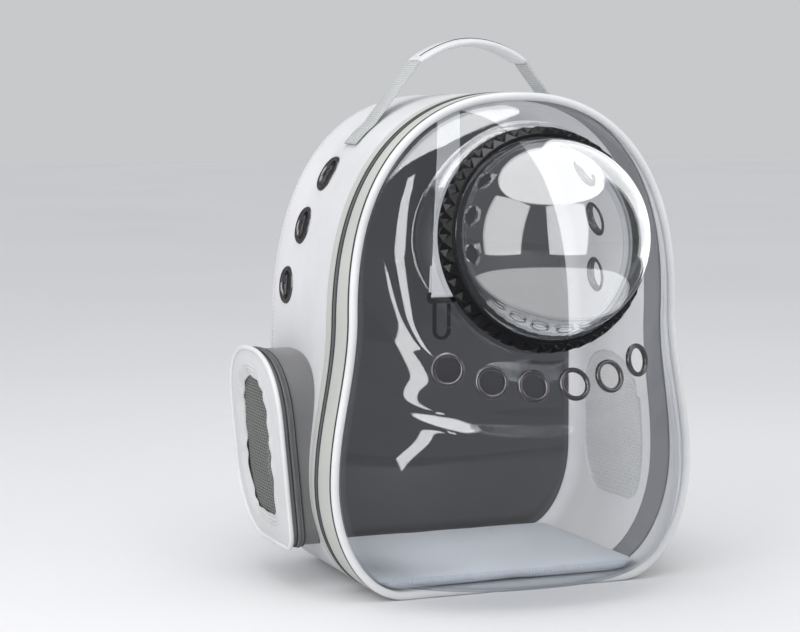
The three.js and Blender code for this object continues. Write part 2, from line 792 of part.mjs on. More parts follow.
function handlePath() {
  const foot = [0, 0.5, 1].map((share) => {
    const p = skinPoint(mix(HANDLE_FOOT_STEP, HANDLE_LIFT_STEP, share), handleY, -footStand);
    return [p.x, p.z];
  });
  const lift = foot[2];
  const rise = [0.12, 0.5, 0.9].map((share) => [
    mix(lift[0], GRIP_HALF, share),
    mix(lift[1], gripEndZ, share),
  ]);
  const crownPoints = [1, 0.66, 0.33].map((share) => [
    GRIP_HALF * share,
    handleTop - GRIP_CROWN * share ** 2,
  ]);
  const half = [...foot, ...rise, ...crownPoints];
  return [...half, [0, handleTop], ...half.map(([x, z]) => [-x, z]).reverse()];
}

function handleFrames(points) {
  return points.map(([x, z], i) => {
    const [x1, z1] = points[Math.max(0, i - 1)];
    const [x2, z2] = points[Math.min(points.length - 1, i + 1)];
    const outward = new THREE.Vector3(z1 - z2, 0, x2 - x1).normalize();
    if (outward.z < 0) outward.negate();
    const point = new THREE.Vector3(x, handleY, z);
    return { point, across: new THREE.Vector3(0, 1, 0), outward };
  });
}

function handleStrap() {
  return strap(handleFrames(handlePath()), HANDLE_WIDTH, WEBBING_THICKNESS);
}

// The grip is a padded sleeve wrapped round the middle of the strap
function handleGrip() {
  const points = handlePath().filter(([x]) => Math.abs(x) <= GRIP_HALF);
  const frames = handleFrames(points);
  const rounded = frames.map(({ point, across, outward }, k) => {
    const end = k === 0 || k === frames.length - 1 ? 0.8 : 1;
    return Array.from({ length: 8 }, (_, i) => {
      const angle = ((i + 0.5) / 8) * 2 * Math.PI;
      const sideways = Math.sign(Math.cos(angle)) * Math.abs(Math.cos(angle)) ** 0.6;
      return point
        .clone()
        .addScaledVector(across, (GRIP_WIDTH / 2) * sideways)
        .addScaledVector(outward, (GRIP_THICKNESS / 2) * end * Math.sin(angle));
    });
  });
  const tunnel = strap(
    handleFrames(handlePath()),
    HANDLE_WIDTH + 2 * SOFT_GAP,
    WEBBING_THICKNESS + 2 * GAP,
  );
  return cut(drum(rounded), tunnel);
}

// Inside of the body
function backBoard() {
  const rear = REAR_Y - WALL - GAP;
  const round = REAR_ROUND - WALL - SOFT_GAP;
  const inset = (y) => REAR_ROUND - Math.sqrt(round ** 2 - (y - REAR_Y + REAR_ROUND) ** 2);
  const loops = [rear - BOARD_THICKNESS, rear - SOFT_GAP].map((y) =>
    ringSteps.map((step) => skinPoint(step, y, inset(y))),
  );
  return drum(loops);
}

function floorMat() {
  const low = WALL + SOFT_GAP + TAPE_THICKNESS + SOFT_GAP;
  const rear = REAR_Y - WALL - BOARD_THICKNESS - 4 * GAP;
  const front = FRONT_Y + MAT_SETBACK;
  const slab = new THREE.BoxGeometry(BODY_WIDTH, rear - front, MAT_THICKNESS);
  slab.translate(0, (rear + front) / 2, low + MAT_THICKNESS / 2);
  return common(slab, bodyDrum(low, ZIP_SETBACK_BASE + COIL_WIDTH));
}

// Safety leash on the top wall, with its snap hook
const leashY = FRONT_Y + LEASH_SETBACK;
const apexPoint = skinPoint(HALF_STEPS, leashY, WALL);
const besideApex = skinPoint(HALF_STEPS - 1, leashY, WALL);
const leashTop = mix(apexPoint.z, besideApex.z, LEASH_WIDTH / 2 / besideApex.x) - GAP;
const leashEnd = leashTop - LEASH_LENGTH;

function leashStrap() {
  const path = [0, 0.5, 1].map((share) => ({
    point: new THREE.Vector3(0, leashY, mix(leashTop, leashEnd, share)),
    across: new THREE.Vector3(1, 0, 0),
    outward: new THREE.Vector3(0, -1, 0),
  }));
  return strap(path, LEASH_WIDTH, WEBBING_THICKNESS);
}

// Hook in its own plane: a wide eye at the top, the shank at the left, the jaw open at the right
const eyeHalf = LEASH_WIDTH / 2 + HOOK_WIRE;
const hookHalf = HOOK_WIDTH / 2;
const jawInside = hookHalf - HOOK_WIRE;
const eyeBase = -HOOK_WIRE * 2.2;
const barBase = eyeBase - HOOK_WIRE;
const jawMiddle = -HOOK_LENGTH + hookHalf;
const jawTip = jawMiddle + HOOK_WIRE * 0.6;
const gateHalf = HOOK_WIRE / 2 - GAP / 2;
const gatePivot = { x: hookHalf - HOOK_WIRE / 2, z: barBase - gateHalf - GAP };

function plate(points, thickness) {
  const shape = new THREE.Shape(points.map(([x, z]) => new THREE.Vector2(x, z)));
  const solid = new THREE.ExtrudeGeometry(shape, { depth: thickness, bevelEnabled: false, steps: 1 });
  solid.translate(0, 0, -thickness / 2);
  solid.rotateX(Math.PI / 2);
  return solid;
}

function arcPoints(radius, middleZ, fromAngle, toAngle, steps) {
  return Array.from({ length: steps + 1 }, (_, i) => {
    const angle = mix(fromAngle, toAngle, i / steps);
    return [radius * Math.cos(angle), middleZ + radius * Math.sin(angle)];
  });
}

function hookBody() {
  const eyeWall = HOOK_WIRE * 0.7;
  const outline = [
    [eyeHalf, 0],
    [-eyeHalf, 0],
    [-eyeHalf, barBase],
    [-hookHalf, barBase],
    ...arcPoints(hookHalf, jawMiddle, Math.PI, 2 * Math.PI, 8),
    [hookHalf, jawTip],
    [jawInside, jawTip],
    ...arcPoints(jawInside, jawMiddle, 2 * Math.PI, Math.PI, 8),
    [-jawInside, barBase],
    [eyeHalf, barBase],
  ];
  const eye = plate(
    [
      [HOOK_WIRE - eyeHalf, -eyeWall],
      [HOOK_WIRE - eyeHalf, eyeBase + eyeWall / 2],
      [eyeHalf - HOOK_WIRE, eyeBase + eyeWall / 2],
      [eyeHalf - HOOK_WIRE, -eyeWall],
    ],
    2 * HOOK_THICKNESS,
  );
  return cut(plate(outline, HOOK_THICKNESS), eye);
}

// The gate turns on a pin under the hook's bar and shuts the jaw
function hookGate() {
  const reach = gatePivot.z - jawTip - GATE_GAP;
  const points = [[-gateHalf, -reach], [gateHalf, -reach], ...arcPoints(gateHalf, 0, 0, Math.PI, 4)];
  return plate(points, HOOK_THICKNESS - 1);
}

// Back of the body
function roundedPlate(width, base, height, corner, frontY, rearY) {
  const shape = new THREE.Shape();
  const half = width / 2;
  shape.moveTo(half - corner, 0);
  shape.absarc(half - corner, corner, corner, -Math.PI / 2, 0, false);
  shape.absarc(half - corner, height - corner, corner, 0, Math.PI / 2, false);
  shape.absarc(-half + corner, height - corner, corner, Math.PI / 2, Math.PI, false);
  shape.absarc(-half + corner, corner, corner, Math.PI, 1.5 * Math.PI, false);
  const depth = rearY - frontY;
  const solid = new THREE.ExtrudeGeometry(shape, { depth, bevelEnabled: false, curveSegments: 5 });
  solid.rotateX(Math.PI / 2);
  solid.translate(0, rearY, base);
  return solid;
}

// Shoulder strap in shares of its height and stand, then the strap's own width
const STRAP_ROWS = [
  { drop: 0, stand: 0, spread: 0.28, widen: 0.8 },
  { drop: 0.04, stand: 0.022, spread: 0.285, widen: 0.85 },
  { drop: 0.09, stand: 0.24, spread: 0.31, widen: 0.92 },
  { drop: 0.18, stand: 0.6, spread: 0.35, widen: 1 },
  { drop: 0.34, stand: 0.92, spread: 0.42, widen: 1 },
  { drop: 0.5, stand: 1, spread: 0.5, widen: 1 },
  { drop: 0.66, stand: 0.9, spread: 0.57, widen: 0.95 },
  { drop: 0.8, stand: 0.72, spread: 0.62, widen: 0.8 },
];
const STRAP_FOOT = 46;

function strapFrames(side, rows, thickness) {
  const drop = STRAP_TOP - STRAP_FOOT;
  const points = rows.map((row) => {
    const y = REAR_Y + SOFT_GAP + thickness / 2 + row.stand * STRAP_STAND;
    return new THREE.Vector3(side * row.spread * HALF_WIDTH, y, STRAP_TOP - row.drop * drop);
  });
  return points.map((point, i) => {
    const from = points[Math.max(0, i - 1)];
    const to = points[Math.min(points.length - 1, i + 1)];
    const along = to.clone().sub(from).normalize();
    const across = new THREE.Vector3(1, 0, 0).addScaledVector(along, -along.x).normalize();
    return { point, across, outward: along.clone().cross(across).normalize(), widen: rows[i].widen };
  });
}

function shoulderStrap(side) {
  return strap(strapFrames(side, STRAP_ROWS, STRAP_THICKNESS), STRAP_WIDTH, STRAP_THICKNESS);
}

const strapEndRow = STRAP_ROWS[STRAP_ROWS.length - 1];

function adjusterFrame(side) {
  const frames = strapFrames(side, STRAP_ROWS, STRAP_THICKNESS);
  const end = frames[frames.length - 1];
  const along = end.across.clone().cross(end.outward).normalize();
  const middle = end.point.clone().addScaledVector(along, ADJUSTER_HEIGHT / 2 + 2 * GAP);
  return { ...end, along, middle };
}

function strapAdjuster(side) {
  const frame = adjusterFrame(side);
  const block = new THREE.BoxGeometry(ADJUSTER_WIDTH, ADJUSTER_HEIGHT, ADJUSTER_THICKNESS);
  const slots = [-1, 1].map((place) => {
    const slot = new THREE.BoxGeometry(ADJUSTER_WIDTH * 0.76, ADJUSTER_HEIGHT * 0.2, 3 * ADJUSTER_THICKNESS);
    return slot.translate(0, place * ADJUSTER_HEIGHT * 0.2, 0);
  });
  const normal = frame.across.clone().cross(frame.along);
  const basis = new THREE.Matrix4().makeBasis(frame.across, frame.along, normal);
  basis.setPosition(frame.middle);
  return cut(block, ...slots).applyMatrix4(basis);
}

function lowerWebbing(side) {
  const frame = adjusterFrame(side);
  const start = frame.middle.clone().addScaledVector(frame.along, ADJUSTER_HEIGHT / 2 + 3 * SOFT_GAP);
  const foot = new THREE.Vector3(
    side * 0.68 * HALF_WIDTH,
    REAR_Y + SOFT_GAP + WEBBING_THICKNESS / 2,
    STRAP_FOOT,
  );
  const points = [
    start,
    start.clone().lerp(foot, 0.55),
    foot,
    foot.clone().add(new THREE.Vector3(0, 0, -STRAP_FOOT * 0.25)),
  ];
  const frames = points.map((point, i) => {
    const along = points[Math.min(3, i + 1)].clone().sub(points[Math.max(0, i - 1)]).normalize();
    const across = new THREE.Vector3(1, 0, 0).addScaledVector(along, -along.x).normalize();
    return { point, across, outward: along.clone().cross(across).normalize() };
  });
  return strap(frames, LOWER_WEBBING_WIDTH, WEBBING_THICKNESS);
}

// Assembly
const carrier = new THREE.Group();
const mainBody = new THREE.Group();
carrier.add(mainBody, bubbleGroup);

function place(group, name, geometry, finish, matrix = null) {
  const mesh = new THREE.Mesh(geometry, materials[finish]);
  mesh.name = name;
  if (matrix) matrix.decompose(mesh.position, mesh.quaternion, mesh.scale);
  group.add(mesh);
  return mesh;
}

const sides = [
  ['left', -1],
  ['right', 1],
];

const eyeletDrills = sides.flatMap(([, side]) =>
  SIDE_EYELETS.map((row) =>
    drill(sideEyeletFrame(side, row), SIDE_EYELET_RADIUS + GAP, EYELET_SIDES, 4 * SIDE_EYELET_DEPTH),
  ),
);
const windowTools = sides.map(([, side]) => windowPrism(side, 0));

place(
  mainBody,
  'body_shell',
  cut(bodyDrum(0, 0), bodyDrum(WALL, 2 * COIL_WIDTH), ...windowTools, ...eyeletDrills),
  'fabric',
);
place(mainBody, 'back_board', backBoard(), 'board');
place(mainBody, 'floor_mat', floorMat(), 'mat');
place(mainBody, 'zip_tape', zipTape(), 'tape');
place(mainBody, 'zip_coil', zipCoil(), 'zip');
place(mainBody, 'door_band', doorBand(), 'band');
place(mainBody, 'door_hinge', doorHinge(), 'band');
place(mainBody, 'rim_piping', rimPiping(), 'piping');
place(mainBody, 'clear_front', clearFront(), 'clear');
place(bubbleGroup, 'bubble_ring', bubbleRing(), 'black');
place(bubbleGroup, 'bubble_dome', bubbleDome(), 'clear');

VENT_PLACES.forEach((across, i) => {
  const geometry = eyelet(VENT_EYELET_HOLE, VENT_EYELET_RADIUS, VENT_EYELET_DEPTH);
  place(mainBody, `vent_eyelet_${i + 1}`, geometry, 'gunmetal', ventFrame(across));
});

for (const [name, side] of sides) {
  SIDE_EYELETS.forEach((row, i) => {
    const geometry = eyelet(SIDE_EYELET_HOLE, SIDE_EYELET_RADIUS, SIDE_EYELET_DEPTH);
    place(mainBody, `side_eyelet_${name}_${i + 1}`, geometry, 'gunmetal', sideEyeletFrame(side, row));
  });
  place(mainBody, `side_pocket_${name}`, pocketShell(side), 'fabric');
  place(mainBody, `pocket_piping_${name}`, pocketPiping(side), 'piping');
  place(mainBody, `pocket_zip_${name}`, pocketZip(side), 'zip');
  place(mainBody, `pocket_mesh_${name}`, pocketMesh(side), 'mesh');
  place(mainBody, `window_mesh_${name}`, windowMesh(side), 'mesh');
  place(mainBody, `shoulder_strap_${name}`, shoulderStrap(side), 'fabric');
  place(mainBody, `strap_adjuster_${name}`, strapAdjuster(side), 'black');
  place(mainBody, `strap_webbing_${name}`, lowerWebbing(side), 'webbing');
}

SLIDER_STEPS.forEach((step, i) => {
  const point = skinPoint(step, zipY(step), coilInset - GAP - SLIDER_THICKNESS / 2);
  const outward = skinPoint(step, zipY(step), 0).sub(skinPoint(step, zipY(step), WALL)).normalize();
  const turn = new THREE.Quaternion().setFromUnitVectors(new THREE.Vector3(1, 0, 0), outward);
  const matrix = new THREE.Matrix4().compose(point, turn, new THREE.Vector3(1, 1, 1));
  place(mainBody, `zip_slider_${i + 1}`, zipSlider(), 'gunmetal', matrix);
});

place(mainBody, 'handle_strap', handleStrap(), 'webbing');
place(mainBody, 'handle_grip', handleGrip(), 'fabric');
place(mainBody, 'leash_strap', leashStrap(), 'webbing');

const hookGroup = new THREE.Group();
hookGroup.position.set(0, leashY, leashEnd - GAP);
mainBody.add(hookGroup);
place(hookGroup, 'leash_hook', hookBody(), 'black');
const gate = place(hookGroup, 'hook_gate', hookGate(), 'black');
gate.position.set(gatePivot.x, 0, gatePivot.z);

place(
  mainBody,
  'back_pad',
  roundedPlate(PAD_WIDTH, PAD_BASE, PAD_HEIGHT, PAD_CORNER, REAR_Y + GAP, REAR_Y + GAP + PAD_THICKNESS),
  'mesh',
);

export default carrier;
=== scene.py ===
"""Finishes and fine shapes of the bubble pet carrier backpack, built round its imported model."""

import math

import bmesh
import bpy
import numpy as np
from mathutils import Matrix, Vector
from mathutils.bvhtree import BVHTree
from mathutils.kdtree import KDTree


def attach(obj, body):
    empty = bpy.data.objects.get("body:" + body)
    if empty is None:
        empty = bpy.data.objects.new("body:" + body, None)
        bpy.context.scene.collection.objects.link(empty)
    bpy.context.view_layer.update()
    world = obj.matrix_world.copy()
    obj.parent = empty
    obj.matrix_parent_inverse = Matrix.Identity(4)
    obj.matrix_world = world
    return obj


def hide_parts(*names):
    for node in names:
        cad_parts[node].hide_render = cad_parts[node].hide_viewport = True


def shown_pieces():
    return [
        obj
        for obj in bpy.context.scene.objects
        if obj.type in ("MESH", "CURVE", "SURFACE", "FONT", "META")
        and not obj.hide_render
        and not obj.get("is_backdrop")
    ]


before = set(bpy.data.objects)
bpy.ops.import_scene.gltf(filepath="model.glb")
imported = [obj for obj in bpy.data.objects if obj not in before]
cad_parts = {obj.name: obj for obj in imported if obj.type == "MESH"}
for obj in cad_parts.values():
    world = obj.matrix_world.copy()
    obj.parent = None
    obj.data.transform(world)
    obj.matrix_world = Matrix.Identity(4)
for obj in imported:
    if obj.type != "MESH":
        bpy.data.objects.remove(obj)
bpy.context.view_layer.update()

# Sizes in metres: the body
BODY_WIDTH, BODY_HEIGHT, BODY_DEPTH = 0.332, 0.420, 0.205
WALL = 0.004
REAR_ROUND = 0.022
GAP = 0.0003
FRONT_FORM = dict(flat=0.6, hip=1, hip_rise=0.238, shoulder=0.9, shoulder_rise=0.57, top=1, power=2.3)
REAR_FORM = dict(flat=0.6, hip=0.94, hip_rise=0.214, shoulder=0.94, shoulder_rise=0.43, top=0.99, power=2.5)
FLAT_STEPS, CORNER_STEPS, SIDE_STEPS, TOP_STEPS = 2, 5, 4, 9
HALF_STEPS = FLAT_STEPS + CORNER_STEPS + SIDE_STEPS + TOP_STEPS
PER_STEP = 9

# Door rim and zips
PIPING = 0.007
ZIP_SETBACK_BASE, ZIP_SETBACK_TOP = 0.050, 0.028
ZIP_WIDTH = 0.010
TAPE_WIDTH = 0.030

# Clear front: where each row ends on the rim, the height of its middle, how far it stands out
SHELL_THICKNESS = 0.002
SHELL_BULGE = 0.092
SHELL_FULLNESS = 2.6
SHELL_ROWS = [
    (2, 0, 0),
    (3, 0.003, 0.33),
    (4, 0.015, 0.64),
    (5, 0.05, 0.86),
    (6, 0.12, 0.965),
    (7, 0.2, 1),
    (8, 0.29, 1),
    (9, 0.332, 0.99),
    (9.5, 0.367, 0.86),
    (10, 0.401, 0.85),
    (11, 0.436, 0.8),
    (12, 0.475, 0.7),
    (13, 0.62, 0.53),
    (14, 0.85, 0.36),
    (14.6, 0.94, 0.26),
    (15, 1, 0),
]

# Bubble
SEAT_PLACE = Vector((0, -0.146, 0.30008))
SEAT_TILT = math.radians(9.3)
SEAT_RADIUS = 0.096
RING_RADIUS = 0.093
RING_DEPTH = 0.017
RING_FACETS = 46
DOME_RADIUS = 0.0815
DOME_WALL = 0.002
DOME_FLANGE = 0.0035
DOME_NECK = RING_DEPTH - 0.001
DOME_VENT = 0.00775
DOME_STEPS = 128
DOME_VENT_LIFT, DOME_VENT_MIDDLE, DOME_VENT_SPACING = (math.radians(a) for a in (13.3, 13.6, 22.5))

# Eyelets
VENT_PLACES = (-0.605, -0.374, -0.13, 0.13, 0.374, 0.605)
VENT_ROW = 10
VENT_EYELET = dict(hole=0.010, radius=0.014, depth=0.005)
SIDE_EYELET = dict(hole=0.0115, radius=0.017, depth=0.007)
SIDE_EYELETS = ((0.831, 0.595), (0.725, 0.66), (0.6, 0.745))

# Side pockets
POCKET_WIDTH, POCKET_HEIGHT = 0.129, 0.162
POCKET_BASE, POCKET_SETBACK = 0.037, 0.130
POCKET_DEPTH_TOP, POCKET_DEPTH_BASE = 0.027, 0.012
POCKET_SHOULDER = 0.62
POCKET_WALL = 0.003
POCKET_WINDOW = (0.5, 0.72)
WALL_WINDOW = (0.8, 0.8)

# Handle, inside and back
HANDLE_SETBACK = 0.108
HANDLE_WIDTH, WEBBING = 0.026, 0.002
HANDLE_RISE = 0.042
HANDLE_FOOT_STEP, HANDLE_LIFT_STEP = 15.9, 16.8
GRIP_HALF, GRIP_WIDTH, GRIP_THICKNESS, GRIP_CROWN = 0.050, 0.032, 0.009, 0.017
LEASH_SETBACK, LEASH_LENGTH, LEASH_WIDTH = 0.165, 0.172, 0.022
HOOK_LENGTH, HOOK_WIDTH, HOOK_WIRE = 0.043, 0.017, 0.003
STRAP_WIDTH, STRAP_THICKNESS = 0.054, 0.011
STRAP_TOP, STRAP_STAND, STRAP_FOOT = 0.376, 0.062, 0.046
STRAP_ROWS = [
    (0, 0, 0.28, 0.8),
    (0.04, 0.022, 0.285, 0.85),
    (0.09, 0.24, 0.31, 0.92),
    (0.18, 0.6, 0.35, 1),
    (0.34, 0.92, 0.42, 1),
    (0.5, 1, 0.5, 1),
    (0.66, 0.9, 0.57, 0.95),
    (0.8, 0.72, 0.62, 0.8),
]

HALF_WIDTH = BODY_WIDTH / 2
FRONT_Y, REAR_Y = -BODY_DEPTH / 2, BODY_DEPTH / 2
REAR_MIDDLE = BODY_HEIGHT * 0.48
SIDES = (("left", -1), ("right", 1))


def mix(low, high, share):
    return low + (high - low) * share


def smooth_share(x, low, high):
    """0 below low, 1 above high and a soft step between them."""
    t = np.clip((x - low) / (high - low), 0, 1)
    return t * t * (3 - 2 * t)


def round_angles(count):
    return np.linspace(0, 2 * math.pi, count, endpoint=False)


def at_runs(line, run, places):
    """Points of a line at some lengths run along it."""
    return np.stack([np.interp(places, run, line[:, k]) for k in range(line.shape[1])], 1)


# Node trees


def add(tree, kind, inputs=None, **settings):
    """A node with its settings, and its inputs set or linked."""
    made = tree.nodes.new(kind)
    for key, value in settings.items():
        setattr(made, key, value)
    for key, value in (inputs or {}).items():
        if isinstance(value, bpy.types.NodeSocket):
            tree.links.new(value, made.inputs[key])
        else:
            made.inputs[key].default_value = value
    return made


def calc(tree, operation, *values):
    return add(tree, "ShaderNodeMath", dict(enumerate(values)), operation=operation).outputs[0]


def noise(tree, place, scale, detail):
    inputs = {"Vector": place, "Scale": scale, "Detail": detail}
    return add(tree, "ShaderNodeTexNoise", inputs).outputs["Fac"]


def bumped(tree, height, distance, strength):
    inputs = {"Height": height, "Distance": distance, "Strength": strength}
    return add(tree, "ShaderNodeBump", inputs).outputs[0]


def colour_between(tree, share, first, second):
    inputs = {"Factor": share, "A": first, "B": second}
    return add(tree, "ShaderNodeMix", inputs, data_type="RGBA").outputs["Result"]


def make_group(name, inputs, outputs, kind="ShaderNodeTree"):
    """An empty node group with named inputs and outputs."""
    group = bpy.data.node_groups.new(name, kind)
    for label, socket, value in inputs:
        item = group.interface.new_socket(label, in_out="INPUT", socket_type=socket)
        if value is not None:
            item.default_value = value
    for label, socket in outputs:
        group.interface.new_socket(label, in_out="OUTPUT", socket_type=socket)
    return group, group.nodes.new("NodeGroupInput").outputs, group.nodes.new("NodeGroupOutput")


def finish_groups(group, end, results):
    for label, socket in results.items():
        group.links.new(socket, end.inputs[label])
    return group


def weave_group():
    """Plain weave: threads over and under each other, from a place in metres."""
    group, given, end = make_group(
        "thread_weave",
        [("Place", "NodeSocketVector", None), ("Threads", "NodeSocketFloat", 900.0)],
        [("Height", "NodeSocketFloat"), ("Shade", "NodeSocketFloat")],
    )
    split = add(group, "ShaderNodeSeparateXYZ", {0: given["Place"]})
    wobble = noise(group, given["Place"], 90.0, 1.0)
    sides = []
    for axis in (0, 1):
        turns = calc(group, "MULTIPLY", split.outputs[axis], given["Threads"])
        turns = calc(group, "ADD", turns, wobble)
        sides.append(calc(group, "SINE", calc(group, "MULTIPLY", turns, math.pi)))
    over = calc(group, "GREATER_THAN", calc(group, "MULTIPLY", *sides), 0.0)
    across, along = (calc(group, "ABSOLUTE", side) for side in sides)
    height = add(group, "ShaderNodeMix", {"Factor": over, 2: across, 3: along}).outputs[0]
    shade = calc(group, "MULTIPLY_ADD", height, 0.35, 0.65)
    return finish_groups(group, end, {"Height": height, "Shade": shade})


def grain_group():
    """Pebbled grain of a coated cloth."""
    group, given, end = make_group(
        "coated_grain",
        [("Place", "NodeSocketVector", None), ("Pebbles", "NodeSocketFloat", 700.0)],
        [("Height", "NodeSocketFloat"), ("Shade", "NodeSocketFloat")],
    )
    cells = add(group, "ShaderNodeTexVoronoi", {"Vector": given["Place"], "Scale": given["Pebbles"]})
    soft = calc(group, "SMOOTH_MIN", cells.outputs["Distance"], 0.45, 0.2)
    slow = noise(group, given["Place"], 60.0, 3.0)
    height = calc(group, "MULTIPLY_ADD", slow, 0.6, calc(group, "MULTIPLY", soft, -1.0))
    shade = calc(group, "MULTIPLY_ADD", soft, -0.12, 1.0)
    return finish_groups(group, end, {"Height": height, "Shade": shade})


def tone_group():
    """Slow and fine changes of colour over a surface."""
    group, given, end = make_group(
        "uneven_tone",
        [
            ("Place", "NodeSocketVector", None),
            ("Light", "NodeSocketColor", (1, 1, 1, 1)),
            ("Dark", "NodeSocketColor", (0.8, 0.8, 0.8, 1)),
            ("Patches", "NodeSocketFloat", 12.0),
            ("Shade", "NodeSocketFloat", 1.0),
        ],
        [("Colour", "NodeSocketColor"), ("Patch", "NodeSocketFloat")],
    )
    slow = noise(group, given["Place"], given["Patches"], 4.0)
    patch = add(group, "ShaderNodeMapRange", {"Value": slow, "From Min": 0.3, "From Max": 0.7}).outputs[0]
    both = colour_between(group, patch, given["Light"], given["Dark"])
    colour = add(group, "ShaderNodeVectorMath", {0: both, "Scale": given["Shade"]}, operation="SCALE")
    return finish_groups(group, end, {"Colour": colour.outputs[0], "Patch": patch})


weave, grain, tone = weave_group(), grain_group(), tone_group()


def start_material(name):
    material = bpy.data.materials.new(name)
    material.use_nodes = True
    tree = material.node_tree
    tree.nodes.clear()
    end = tree.nodes.new("ShaderNodeOutputMaterial")
    return material, tree, end


def placed_group(tree, group, **inputs):
    return add(tree, "ShaderNodeGroup", inputs, node_tree=group)


def shaded(colour, share):
    return (*(c * share for c in colour[:3]), 1)


def cloth_finish(
    name, colour, dark=0.86, rough=0.6, threads=900, depth=0.0002, sheen=0.2, coated=False, patches=12
):
    """A woven or coated cloth. The weave follows the piece's own UV map, in metres."""
    material, tree, end = start_material(name)
    spots = add(tree, "ShaderNodeTexCoord").outputs
    pattern = placed_group(
        tree,
        grain if coated else weave,
        Place=spots["Object" if coated else "UV"],
        **{"Pebbles" if coated else "Threads": threads},
    )
    tint = placed_group(
        tree,
        tone,
        Place=spots["Object"],
        Light=(*colour, 1),
        Dark=shaded(colour, dark),
        Patches=patches,
        Shade=pattern.outputs["Shade"],
    )
    bump = bumped(tree, pattern.outputs["Height"], depth, 0.8)
    roughness = calc(tree, "MULTIPLY_ADD", tint.outputs["Patch"], 0.12, rough - 0.06)
    surface = add(
        tree,
        "ShaderNodeBsdfPrincipled",
        {
            "Base Color": tint.outputs["Colour"],
            "Roughness": roughness,
            "Normal": bump,
            "Sheen Weight": sheen,
            "Sheen Roughness": 0.4,
        },
    )
    tree.links.new(surface.outputs[0], end.inputs["Surface"])
    return material


def hard_finish(name, colour, rough=0.3, metal=0.0, coat=0.0, scuffs=60, depth=0.00003, dark=0.7):
    """Moulded plastic or plated metal with light scuffs."""
    material, tree, end = start_material(name)
    spots = add(tree, "ShaderNodeTexCoord").outputs
    tint = placed_group(
        tree, tone, Place=spots["Object"], Light=(*colour, 1), Dark=shaded(colour, dark), Patches=scuffs
    )
    bump = bumped(tree, noise(tree, spots["Object"], 900.0, 2.0), depth, 0.5)
    roughness = calc(tree, "MULTIPLY_ADD", tint.outputs["Patch"], 0.12, rough)
    surface = add(
        tree,
        "ShaderNodeBsdfPrincipled",
        {
            "Base Color": tint.outputs["Colour"],
            "Roughness": roughness,
            "Metallic": metal,
            "Coat Weight": coat,
            "Coat Roughness": 0.08,
            "Normal": bump,
        },
    )
    tree.links.new(surface.outputs[0], end.inputs["Surface"])
    return material


def clear_finish(name, tint, edge, waves, ripple, mirror):
    """Thin clear plastic: what is behind shows straight through, and the surface shines."""
    material, tree, end = start_material(name)
    spots = add(tree, "ShaderNodeTexCoord").outputs
    bump = bumped(tree, noise(tree, spots["Object"], waves, 1.0), ripple, 0.3)
    facing = add(tree, "ShaderNodeLayerWeight", {"Blend": 0.5, "Normal": bump}).outputs["Facing"]
    grazing = calc(tree, "POWER", facing, 5.0)
    colour = colour_between(tree, grazing, (*tint, 1), (*edge, 1))
    through = add(tree, "ShaderNodeBsdfTransparent", {"Color": colour})
    shine = add(
        tree,
        "ShaderNodeBsdfPrincipled",
        {"Base Color": (0.93, 0.94, 0.95, 1), "Roughness": 0.03, "Metallic": 1.0, "Normal": bump},
    )
    share = calc(tree, "MULTIPLY_ADD", grazing, 0.55, mirror)
    both = add(tree, "ShaderNodeMixShader", {0: share, 1: through.outputs[0], 2: shine.outputs[0]})
    tree.links.new(both.outputs[0], end.inputs["Surface"])
    return material


def coated_finish(name, colour, rough=0.5, threads=900, depth=0.00012):
    return cloth_finish(name, colour, rough=rough, threads=threads, depth=depth, coated=True)


white_cloth = coated_finish("white_cloth", (0.80, 0.80, 0.815))
pocket_cloth = coated_finish("pocket_cloth", (0.74, 0.74, 0.75))
band_cloth = coated_finish("band_cloth", (0.60, 0.61, 0.575), rough=0.55)
piping_cloth = coated_finish("piping_cloth", (0.86, 0.86, 0.87), rough=0.35, threads=1400, depth=0.00008)
board_cloth = cloth_finish(
    "board_cloth", (0.10, 0.10, 0.108), dark=0.95, rough=0.8, threads=1300, depth=0.00004, patches=6
)
mat_cloth = cloth_finish("mat_cloth", (0.74, 0.79, 0.87), rough=0.85, threads=700, depth=0.0005, sheen=0.6)
leash_cloth = cloth_finish("leash_cloth", (0.62, 0.62, 0.64), rough=0.7, threads=620, depth=0.0004)
back_cloth = cloth_finish("back_cloth", (0.60, 0.60, 0.61), rough=0.8, threads=520, depth=0.0005, sheen=0.4)
webbing_cloth = cloth_finish(
    "webbing_cloth", (0.70, 0.72, 0.72), dark=0.72, rough=0.75, threads=430, depth=0.0006
)
tape_cloth = cloth_finish("tape_cloth", (0.30, 0.30, 0.32), rough=0.8, threads=1500)
# Near-black lines that stand for shade: painted shadow in the grooves beside the zips, in the crease behind
# the rim piping and in the handle sleeve's slit.
shadow_line_cloth = cloth_finish("shadow_line_cloth", (0.05, 0.05, 0.055), rough=0.8, threads=1500)
gusset_cloth = cloth_finish("gusset_cloth", (0.235, 0.235, 0.24), rough=0.38, threads=1100, depth=0.0001)
# Near-black inside of the side pockets, seen through their nets: painted shade in the pocket.
pocket_inside_shade = cloth_finish("pocket_inside_shade", (0.07, 0.07, 0.072), rough=0.85, threads=1100)
zip_tape_cloth = cloth_finish("zip_tape_cloth", (0.27, 0.275, 0.28), rough=0.8, threads=1500)
net_thread = cloth_finish("net_thread", (0.20, 0.215, 0.20), rough=0.75, threads=2600, depth=0.0001)
white_net_thread = cloth_finish(
    "white_net_thread", (0.80, 0.80, 0.81), rough=0.75, threads=2600, depth=0.0001
)
coil_plastic = hard_finish("coil_plastic", (0.17, 0.172, 0.18), rough=0.35)
ring_plastic = hard_finish("ring_plastic", (0.005, 0.005, 0.006), rough=0.16, coat=0.1, dark=0.8)
black_plastic = hard_finish("black_plastic", (0.004, 0.004, 0.005), rough=0.42)
gunmetal = hard_finish("gunmetal", (0.30, 0.285, 0.29), rough=0.17, metal=1.0)
floor_finish = hard_finish("floor_finish", (0.86, 0.86, 0.87), rough=0.55, scuffs=1.5, dark=0.985)
